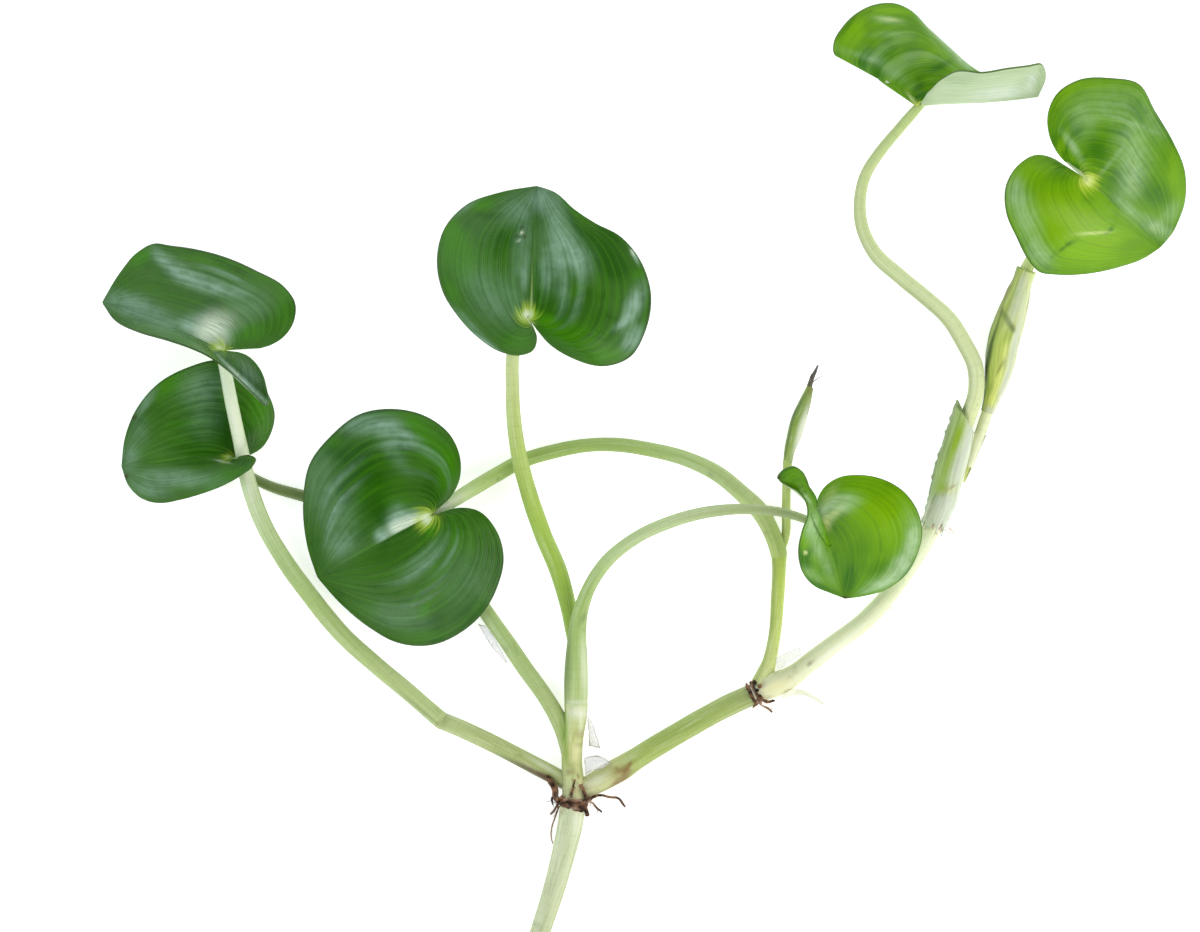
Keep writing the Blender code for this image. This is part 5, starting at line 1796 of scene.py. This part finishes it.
def leaf_stalks() -> list[Stalk]:
    """The stalks of the seven leaves."""
    return [
        Stalk(
            "petiole_far_left", "stalk_green",
            StalkFinish(
                (
                    (0, (190, 206, 140)), (0.3, (170, 192, 116)), (0.5, (166, 193, 116)),
                    (0.75, (217, 230, 186)), (1, (232, 245, 219)),
                ),
            ),
            [
                (-40.6, -46.6, 1.7), (-47.3, -40.8, 1.7), (-54, -35.2, 1.7), (-61, -28.8, 1.7, 1.72),
                (-66.7, -21.8, 2, 1.72), (-71.7, -15, 2.6, 1.7), (-76.1, -7.4, 3.6, 1.65),
                (-78.8, -0.4, 4.3, 1.6), (-79.8, 3.4, 4.7, 1.5), (-80.5, 7.2, 5.8, 1.4),
                (-81.6, 12.6, 7.8, 1.35), (-82.8, 18.6, 9.4, 1.3), (-83.7, 23.2, 9.3, 1.2),
                (-84.6, 26.8, 9.6, 1),
            ],
            patches=(
                pale(-81.2, 11, 14, 0.7, 102, 0.7), dark(-45, -44.2, 6, 0.4, -40, 0.4),
                rust(-40.8, -46.5, 1.9, 0.2, 65, 0.8),
            ),
        ),
        Stalk(
            "petiole_low_left", "stalk_green",
            StalkFinish(
                (
                    (0, (186, 200, 130)), (0.2, (176, 197, 127)), (0.45, (164, 192, 119)),
                    (0.6, (132, 152, 88)), (0.8, (104, 124, 62)), (1, (110, 134, 70)),
                ),
            ),
            [
                (-15.4, -53, 2.6, 1.3), (-16.3, -48.6, 2.8, 1.7), (-18.3, -44.3, 2.4, 1.65),
                (-20, -41.6, 2, 1.6), (-23.8, -36.4, 1.6), (-28.4, -29.6, 1.55), (-36.4, -19, 1.45),
                (-43, -13, 1.4), (-51, -8, 1.3), (-60, -4.2, 1.2), (-68.4, -1.6, 1.15),
                (-74.8, 0.3, 1.05), (-78.4, 2, 1), (-80.8, 3.6, 1.5, 1), (-82.8, 5.3, 3.2, 0.9),
            ],
            patches=(fresh(-16.4, -49.6, 4, 0.6, 100, 0.6), dark(-15.8, -51.4, 3, 0.4, 98, 0.6)),
        ),
        Stalk(
            "petiole_centre", "stalk_green",
            StalkFinish(
                (
                    (0, (148, 181, 76)), (0.25, (156, 189, 64)), (0.5, (177, 204, 91)),
                    (0.75, (201, 215, 136)), (1, (227, 237, 181)),
                ),
                flank_shade_share=0.4,
            ),
            [
                (-13.7, -33.5, 3.6, 1.1), (-14.4, -28.8, 2.6, 1.45), (-15.1, -24.8, 2.6, 1.55),
                (-17.3, -16.7, 3.8, 1.7), (-20.7, -8.5, 5.2, 1.7), (-23.4, -0.5, 5.8, 1.65),
                (-25.2, 6.6, 6, 1.55), (-26.2, 13.6, 5.9, 1.45), (-26.5, 20.6, 5.8, 1.35),
                (-26.5, 25.6, 6.2, 1.3), (-26.1, 28.6, 7.2, 1.25), (-25.2, 31.4, 8.6, 1.15),
                (-23.9, 34.2, 10.8, 1),
            ],
        ),
        Stalk(
            "petiole_arch_right", "stalk_green",
            StalkFinish(
                (
                    (0, (190, 208, 140)), (0.12, (172, 198, 118)), (0.3, (160, 188, 100)),
                    (0.42, (186, 208, 146)), (0.6, (195, 212, 158)), (0.8, (167, 182, 124)),
                    (1, (157, 176, 117)),
                ),
                flank_shade_share=0.42,
            ),
            [
                (-13.8, -43.6, 3.5, 2.3), (-13.8, -38.4, 3.9, 2.35), (-13.7, -33.4, 4.6, 2.15),
                (-13.6, -29.6, 5.4, 1.8), (-13.1, -25.4, 6.2, 1.55), (-11.6, -20.8, 6.9, 1.35),
                (-7.7, -14.7, 7.8, 1.3), (-1.8, -9.9, 8.6, 1.25), (5.2, -6.7, 9.2, 1.25),
                (13, -4.7, 9.6, 1.15), (21, -4.2, 9.8, 1), (28, -5, 9.9, 0.9), (31.6, -6.1, 10, 0.85),
                (34.6, -7.4, 9.9, 0.85),
            ],
            patches=(
                # The dark stripe down its left side is painted shade, the pale stripe down its right side a
                # painted highlight
                dark(-15.6, -35, 9, 0.8, 88, 0.6), dark(-12.4, -26, 1.4, 0.5, 60, 0.5),
                pale(-12.2, -36, 6, 0.7, 92, 0.5), pale(-13.7, -42.8, 2.2, 0.5, 0, 0.5),
            ),
        ),
        Stalk(
            "petiole_arch_left", "stalk_green",
            StalkFinish(
                (
                    (0, (174, 196, 97)), (0.14, (197, 214, 144)), (0.3, (173, 196, 126)),
                    (0.45, (162, 187, 100)), (0.65, (150, 179, 89)), (0.85, (181, 209, 109)),
                    (1, (234, 248, 197)),
                ),
            ),
            [
                (26.8, -13.4, 1.4, 1.6), (26.5, -12, 1.9, 1.65), (25.7, -9.8, 2.3, 1.65),
                (23, -4.7, 2.6, 1.75), (19.4, -1.2, 2.6, 1.65), (14.7, 2.7, 2.4, 1.6), (8.8, 5.6, 2, 1.5),
                (1.9, 7.5, 1.4), (-5, 8.6, 1.4), (-12, 8.5, 1.35), (-18.3, 7.3, 1.4),
                (-24.8, 5.3, 1.5, 1.45), (-29.8, 2.6, 2.4, 1.5), (-34.8, -0.4, 4, 1.45),
                (-38, -2.4, 5.9, 1.35), (-40.8, -4.2, 7.6, 1.2), (-43.2, -5.7, 8.1, 1),
            ],
            # Painted light on the stalk's end, where the blade's lobes cast their shadow
            patches=(pale(-40.2, -3.8, 5, 1.1, 32, 0.8),),
        ),
        Stalk(
            "petiole_top", "stalk_green",
            StalkFinish(
                (
                    (0, (216, 232, 160)), (0.25, (224, 233, 176)), (0.5, (214, 227, 173)),
                    (0.75, (206, 219, 158)), (1, (182, 205, 122)),
                ),
                rim=(146, 158, 104), flank_shade_share=0.6, core=0.17,
            ),
            [
                (57.5, -7, 1.9, 1.5), (59.4, -1.4, 2.6, 1.5), (61.2, 4.6, 2.9, 1.5), (63, 10.2, 3.1, 1.5),
                (64.8, 15, 3.8, 1.55), (66.1, 19.2, 4.6, 1.6), (65.9, 24.2, 4.9, 1.6),
                (63.8, 28.8, 4.9, 1.6), (60.8, 33.6, 5, 1.6), (55.9, 38.1, 5.2, 1.5),
                (50.9, 42.2, 5.6, 1.5), (46, 46.7, 6, 1.45), (43.3, 52.2, 6.2, 1.3),
                (42.9, 57.6, 6.3, 1.2), (44, 62.5, 6.3, 1.15), (46.8, 67, 6.2, 1.1),
                (50.3, 71.2, 6.3, 1.05), (53.6, 75, 6.7, 1), (55.2, 76.8, 7, 0.85),
            ],
        ),
        Stalk(
            "petiole_right", "stalk_green",
            StalkFinish(
                (
                    (0, (240, 244, 214)), (0.3, (224, 234, 160)), (0.7, (196, 214, 130)),
                    (1, (188, 210, 120)),
                ),
            ),
            [
                (64.8, 4.2, 1.5, 0.7), (66.2, 8.6, 1.7, 1), (67.4, 12.2, 1.9, 1.1),
                (68.8, 16.6, 2.5, 1.05), (69.9, 20.6, 3, 1.05), (71.2, 26.6, 3.5, 1.1),
                (72.6, 32.6, 3.7, 1.15), (74.2, 38.6, 3.9, 1.2), (76.2, 43.8, 4.3, 1.25),
                (78.6, 47.6, 4.8, 1.25), (82, 52.6, 5.8, 1.2), (85.4, 57, 7.2, 1.1),
                (88.1, 60.7, 8.6, 0.95),
            ],
        ),
    ]


def flower_parts() -> list[Stalk]:
    """The flower shoot and the narrow bract."""
    return [
        Stalk(
            "flower_stalk", "sheath_green",
            StalkFinish(((0, (200, 214, 128)), (1, (186, 206, 112))), rim=(134, 150, 74), core=0.17),
            [
                (27.2, -12.4, 1.5, 0.8), (28.1, -9.4, 1.5, 0.85), (28.2, -4.4, 1.4, 0.88),
                (28.3, 0.6, 1.4, 0.85), (28.5, 5.6, 1.6, 0.9),
            ],
        ),
        Stalk(
            "flower_spathe", "sheath_green",
            StalkFinish(
                ((0, (166, 190, 92)), (0.4, (142, 172, 64)), (1, (128, 154, 62))), rim=(92, 112, 52),
                core=0.3,
            ),
            [
                (28.5, 5, 1.6, 0.85), (28.9, 7.6, 1.7, 1.05), (29.8, 10.4, 1.8, 1.4),
                (30.6, 13.4, 1.9, 1.45), (31.9, 17, 2, 1.15), (33, 20.2, 2, 0.65),
            ],
            ribs=0.05,
            patches=(
                pale(31.1, 11, 5.6, 0.8, 74, 1), dark(28.6, 9.6, 6, 0.35, 78, 0.8),
                dark(30.4, 15.8, 3.6, 0.4, 62, 0.8), rust(33, 19.6, 0.7, 0.5, 60, 0.8),
            ),
        ),
        Stalk(
            "flower_withered", "withered",
            StalkFinish(
                ((0, (104, 102, 72)), (0.5, (92, 84, 78)), (1, (128, 120, 116))), rim=(70, 62, 52),
            ),
            [
                (32.8, 20.2, 2, 0.5), (33.3, 21.8, 2.1, 0.42), (33.8, 22.9, 2.1, 0.34),
                (34.6, 24.6, 2.2, 0.14),
            ],
            ribs=0.14,
            wisps=[
                [(33.2, 20.8, 2.1, 0.1), (34.2, 21.7, 2.2, 0.09), (35.5, 22.4, 2, 0.06)],
                [(33.6, 22.4, 2.2, 0.09), (34.2, 23, 2.5, 0.07), (34.4, 23.9, 2.6, 0.05)],
                [(32.9, 21, 2.3, 0.09), (32.9, 21.9, 2.5, 0.07), (33.3, 22.9, 2.5, 0.05)],
            ],
        ),
        Stalk(
            "bract_small", "sheath_green",
            StalkFinish(
                (
                    (0, (232, 240, 160)), (0.4, (222, 232, 116)), (0.8, (170, 178, 92)),
                    (1, (120, 122, 74)),
                ),
                rim=(126, 130, 60), core=0.3,
            ),
            [
                (63.7, 1.2, 0.8, 0.25), (64.6, 3.6, 0.8, 0.5), (65.8, 6.4, 0.9, 0.5),
                (67.2, 9, 0.9, 0.32), (68.1, 10.6, 0.9, 0.15),
            ],
            patches=(dark(65.4, 4.6, 3.4, 0.22, 66, 0.9), dark(67.6, 9.4, 1.6, 0.3, 60, 0.9)),
        ),
    ]


def sheaths() -> list[Sheath]:
    """The two leaf sheaths."""
    return [
        Sheath(
            "sheath_upper", "sheath_green",
            SheathFinish(
                (
                    (0, (246, 248, 230)), (0.26, (232, 240, 216)), (0.42, (214, 228, 186)),
                    (0.56, (166, 194, 104)), (0.72, (142, 168, 92)), (0.8, (122, 138, 104)),
                    (1, (132, 148, 106)),
                ),
            ),
            [
                (57.7, -7.4, 2.4, 2.2), (58.5, -5.2, 2.8, 2.45), (59.4, -2.8, 3, 2.75),
                (60.8, 3, 3.15, 2.9), (62, 7, 3.2, 2.85), (63.2, 11, 3.3, 2.7), (64.1, 14.2, 3.5, 2.5),
            ],
            edges=(-70, 245), mouth_lean=2.8, fray=0.45, foot_fringe=2.2,
            patches=(
                pale(58.4, -5.6, 4, 3.4, 0, 1), rust(57.4, -6.8, 0.8, 0.2, 80, 0.4),
                fresh(62.4, 10.6, 3.6, 0.9, 72, 0.9), fresh(59.2, -0.4, 1.2, 1, 70, 0.9),
                fresh(59.8, 3.4, 3.6, 0.6, 72, 0.5), pale(62.6, 4.6, 4, 1.1, 74, 0.8),
                pale(64.6, 10.4, 4, 0.6, 78, 0.7), lemon(60.8, -0.4, 1.6, 0.6, 20, 0.35),
                pale(60.4, -3.4, 2.4, 2.2, 0, 0.95), rust(61.2, 0.2, 1.5, 0.25, 32, 0.7),
                # The dark lines at the mouth, at 63.2, 15.7 and 64.3, 14.4, are painted shadow of the mouth's
                # rim
                rust(59.4, -1.6, 0.5, 0.25, 60, 0.5), dark(63.2, 15.7, 2, 0.35, -46, 1),
                dark(64.3, 14.4, 1, 0.3, -50, 0.7), dark(57.6, -2.4, 1.8, 0.3, 68, 0.7),
                dark(60.1, 9, 5, 0.3, 74, 0.35), dark(65.3, 10, 4, 0.14, 82, 0.5),
                fresh(61.4, 6.4, 4.4, 1, 74, 0.45), dark(64, 3.6, 3, 0.14, 66, 0.4),
                rust(56.9, -4.4, 1.8, 0.4, 65, 0.5),
            ),
        ),
        Sheath(
            "sheath_right", "sheath_green",
            SheathFinish(
                (
                    (0, (244, 248, 222)), (0.22, (232, 240, 196)), (0.38, (216, 228, 140)),
                    (0.55, (196, 212, 98)), (0.7, (152, 178, 72)), (0.79, (112, 138, 62)),
                    (1, (120, 140, 76)),
                ),
            ),
            [
                (68.4, 15.2, 2.3, 1.15), (69.2, 17.8, 2.6, 1.5), (70.1, 20.8, 3, 2.2),
                (70.9, 24.8, 3.4, 2.85), (71.7, 29.6, 3.6, 3.1), (72.7, 32.8, 3.65, 3),
                (74.1, 37.2, 3.8, 2.55), (75.5, 41.6, 4.15, 1.9), (76.2, 43.6, 4.35, 1.85),
            ],
            edges=(-60, 235), creases=0.2,
            patches=(
                dark(68.6, 25.8, 4.6, 0.5, 78, 1), dark(67.9, 23, 2.4, 0.4, 86, 0.8),
                dark(67.8, 18.8, 1.2, 0.25, 82, 0.8), dark(70.2, 32, 4.8, 0.3, 72, 0.7),
                dark(72.2, 33.8, 2.4, 0.7, -62, 0.6), dark(73.4, 31.8, 1, 0.7, -70, 0.5),
                dark(68.6, 31, 5.6, 0.3, 74, 0.6), rust(72.2, 38.6, 6, 0.5, 66, 0.4),
                pale(74.2, 36.6, 4.4, 1.2, 68, 0.55), fresh(73, 36.6, 3.4, 0.7, 66, 0.25),
                pale(75.4, 41.4, 2.4, 0.8, 66, 0.5), dark(74.4, 39, 2.4, 0.2, 52, 0.4),
                dark(75, 36.6, 1.6, 0.2, -20, 0.35), dark(73.6, 34.6, 1, 0.2, 10, 0.3),
                fresh(69.8, 30.2, 4.6, 0.4, 76, 0.6), fresh(72.6, 30.6, 2.2, 0.8, 66, 0.7),
                lemon(70.4, 22, 2.4, 0.7, 78, 0.8), dark(70.8, 24, 2, 0.3, 66, 0.6),
                dark(71.8, 25, 1, 0.25, 70, 0.4), lemon(71.6, 26.6, 3, 0.5, 74, 0.6),
                pale(73.8, 29, 6, 0.7, 76, 0.8), pale(71.8, 20.6, 4, 0.7, 70, 0.8),
                lemon(69.2, 17.6, 1.8, 0.9, 70, 0.7), pale(68.8, 15.4, 1, 1.2, 0, 0.8),
            ),
        ),
    ]


def films() -> list[Film]:
    """The dry stipules at the joints."""
    dry = FilmFinish("dry_skin")
    clear = FilmFinish(
        "dry_skin_clear", fill=(240, 240, 232), edge=(196, 194, 184), fill_opacity=0.3, edge_opacity=0.3,
    )
    cream = FilmFinish(
        "dry_skin_cream", fill=(238, 240, 214), edge=(206, 208, 180), fill_opacity=0.6, edge_opacity=0.5,
    )
    return [
        Film(
            "stipule_centre", dry, [(-11.2, -45.6, 3.4), (-9.9, -48.6, 2.2), (-9, -52, 0.8)],
            [(-11.5, -46.4, 2.6), (-11.2, -49.6, 1.6), (-11.2, -51.6, 0.8)],
        ),
        Film(
            "stipule_joint", dry, [(-12.1, -53.9, 4.4), (-9.6, -53.4, 5.2), (-6.8, -54.8, 5)],
            [(-11.9, -57.2, 4.7), (-10.4, -56.4, 5.2), (-8.4, -56, 5.2)],
        ),
        Film(
            "stipule_low_left", dry, [(-33.4, -27.2, 1.6), (-30.8, -31.4, 1), (-27.6, -35.2, 0.5)],
            [(-32, -27.5, 2), (-30.2, -30.1, 2.2), (-27.6, -34.5, 1.2)],
        ),
        Film(
            "stipule_middle", clear, [(26, -34, 4), (28.4, -32.8, 4.2), (31, -31.8, 3.8)],
            [(26.6, -36.6, 4.9), (28.8, -34.8, 4.6), (31.2, -33.2, 4.2)],
        ),
        Film(
            "stipule_curled", cream, [(27, -42, 3.4), (31, -41.4, 2.2), (36.2, -43.6, 0.6)],
            [(28.8, -40.3, 3.9), (31.4, -40.3, 1.6), (35, -42.2, 0.4)],
        ),
        Film(
            "stipule_upper", clear,
            [(34.8, -35.8, 0.5), (38.1, -33, 0.5), (44.9, -27.9, 0.5), (49.3, -23.5, 0.5)],
            [(35, -36.2, 0.4), (38.4, -33.4, 0.4), (45.3, -28.4, 0.4), (49.8, -24, 0.4)],
        ),
    ]


def tufts() -> list[RootTuft]:
    """The roots at the three joints."""
    brown = RootFinish("root_brown", dark=(42, 27, 18), light=(140, 104, 74))
    pink = RootFinish("root_pink", dark=(222, 198, 176), light=(246, 238, 222))
    return [
        RootTuft(
            "root_tuft_lower", "root_brown", brown,
            bands=[
                [
                    (-14.6, -63.9, 2.5, 2.55), (-14.45, -63.3, 2.6, 2.8), (-14.4, -62.6, 2.6, 2.65),
                    (-14.4, -62.1, 2.6, 2.4),
                ],
            ],
            strands=[
                [
                    (-12.4, -62.4, 3, 0.42), (-11, -62, 3.6, 0.36), (-9.9, -61.5, 3.8, 0.3),
                    (-8.6, -61.4, 3.4, 0.26), (-7, -61.8, 2.6, 0.24), (-5.4, -62, 1.6, 0.24),
                    (-4.7, -62.7, 0.9, 0.26), (-4, -63.8, 0.4, 0.2),
                ],
                [
                    (-12, -62.6, 2.4, 0.24), (-10.6, -62.9, 1.9, 0.2), (-9.6, -64, 1.2, 0.22),
                    (-8.7, -64.8, 0.5, 0.2),
                ],
                [(-12.4, -62.8, 3.8, 0.4), (-11.9, -63.9, 3, 0.36), (-11.5, -65.5, 2.2, 0.46)],
                [
                    (-17, -62.4, 2.2, 0.4), (-17.8, -63.8, 1.4, 0.24), (-18.3, -64.6, 0.9, 0.26),
                    (-18.9, -65.2, 0.5, 0.22),
                ],
                [
                    (-19.6, -57.6, 3.2, 0.42), (-18.8, -58.8, 3.6, 0.6), (-18, -60.2, 3.6, 0.66),
                    (-17.9, -61.6, 3.2, 0.6), (-17.4, -62.8, 2.8, 0.5),
                ],
                [(-18, -61.2, 3.4, 0.3), (-18.6, -62.2, 2.4, 0.26), (-18.4, -63.4, 1.4, 0.14)],
                [
                    (-14.9, -61.8, 4.8, 0.3), (-14.6, -60.7, 5, 0.28), (-14.3, -59.4, 5, 0.16),
                    (-13.9, -58.2, 4.9, 0.13),
                ],
                [(-11.6, -62.2, 4, 0.42), (-12.2, -60.6, 5, 0.36), (-12.9, -59.2, 5.1, 0.4)],
                [
                    (-17.2, -63.6, 1.6, 0.2), (-17.9, -65.6, 0.8, 0.18), (-18.6, -67.8, 0.4, 0.17),
                    (-18.8, -69.6, 0.3, 0.15), (-18.4, -71.2, 0.3, 0.12),
                ],
            ],
            knobs=[
                (-16.6, -61.8, 4.3, 0.45), (-16.7, -63.2, 4, 0.45), (-15.8, -62.3, 4.9, 0.5),
                (-15, -62.8, 5.2, 0.42), (-14, -63.1, 5.2, 0.55), (-13.2, -62.9, 4.9, 0.42),
                (-12.6, -63.7, 4.4, 0.45), (-12.1, -62.7, 4.3, 0.4), (-18, -60.4, 4, 0.5),
                (-19.2, -58, 3.6, 0.42), (-11.1, -62.1, 3.9, 0.5), (-17.6, -62, 3.6, 0.6),
            ],
            ragged=0.13,
            patches=(
                pale(-15.6, -61.9, 0.8, 0.4, 20, 0.5), pale(-13.4, -62.2, 1, 0.35, -10, 0.6),
                pale(-10.9, -62.9, 0.7, 0.5, 0, 0.8), pale(-17.2, -61.2, 0.8, 0.5, 60, 0.5),
                pale(-14.2, -64, 0.9, 0.3, 0, 0.5), pale(-18.6, -69, 0.9, 4.4, 0, 0.8),
            ),
            hairs=30, seed=11,
        ),
        RootTuft(
            "root_tuft_middle", "root_brown", brown,
            bands=[
                [
                    (20.95, -41.5, 2.2, 2.1), (21.15, -41.4, 2.2, 2.4), (21.45, -41.27, 2.2, 2.3),
                    (21.6, -41.2, 2.2, 2.05),
                ],
                [
                    (21.9, -41.08, 2.2, 2.05), (22.05, -41, 2.2, 2.35), (22.35, -40.87, 2.2, 2.3),
                    (22.5, -40.8, 2.2, 2.05),
                ],
            ],
            strands=[
                [
                    (22.8, -41.4, 4.2, 0.34), (23.4, -42.2, 4.2, 0.32), (24.3, -42.7, 3.8, 0.34),
                    (25.9, -42.4, 3.2, 0.2),
                ],
                [
                    (22.7, -42.9, 2.6, 0.2), (23.6, -43.6, 1.6, 0.18), (24.5, -44, 1, 0.24),
                    (25.4, -44.8, 0.5, 0.22),
                ],
                [(22.3, -42.6, 3.4, 0.44), (22, -43.3, 2.4, 0.3), (21.6, -43.9, 1.6, 0.16)],
                [(21.4, -39.6, 3.8, 0.34), (21.6, -39, 3.6, 0.34), (21.9, -38.5, 3.2, 0.3)],
                [(20.8, -39.5, 3.4, 0.24), (20.9, -40.4, 4.3, 0.34), (21.4, -41.8, 4.4, 0.3)],
            ],
            knobs=[
                (22.4, -42.8, 3.9, 0.5), (22.9, -39.6, 4.2, 0.45), (21.9, -38.9, 3.6, 0.4),
                (21, -40.7, 4.4, 0.36), (24.2, -42.6, 3.9, 0.36), (22.4, -40.4, 4.5, 0.34),
            ],
            ragged=0.12,
            patches=(pale(21.8, -41, 1.6, 0.22, 112, 0.9), pale(23.4, -43.4, 1.2, 0.4, -50, 0.7)),
            hairs=14, seed=12,
        ),
        RootTuft(
            "root_tuft_upper", "root_pink", pink,
            bands=[[(57.2, -8, 2, 1.8), (57.5, -7.2, 2, 1.95), (57.8, -6.4, 2, 1.8)]],
            strands=[
                [(56.8, -7.4, 3.4, 0.16), (56, -7.8, 3, 0.14), (54.8, -8.2, 1.8, 0.1)],
                [(57.6, -7.6, 3.6, 0.14), (58.4, -9, 2.8, 0.12), (58.9, -10.4, 1.4, 0.1)],
                [(58.8, -7.2, 2.8, 0.16), (60.4, -7.7, 1.8, 0.13), (61.8, -8.9, 0.6, 0.12)],
                [(58.4, -8, 3.4, 0.14), (59.8, -8.4, 3, 0.12), (61.2, -9.3, 1.8, 0.1)],
                [(58.2, -7, 3.4, 0.13), (59.8, -6.4, 2.6, 0.11), (61.6, -6.2, 1.4, 0.08)],
            ],
            hairs=60, hair_radius=0.05, ragged=0.06, seed=13,
        ),
    ]


def main() -> None:
    """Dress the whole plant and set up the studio."""
    noise.seed_set(ROOT_NOISE_SEED)
    logging.basicConfig(level=logging.INFO, format="%(message)s")
    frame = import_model()
    LOG.info("%d solids to dress", len(frame["nodes"]))
    Studio().set_up()
    for group in (leaves(), stems(), leaf_stalks(), flower_parts(), sheaths(), films(), tufts()):
        for part in group:
            part.dress()


if __name__ == "__main__":
    main()
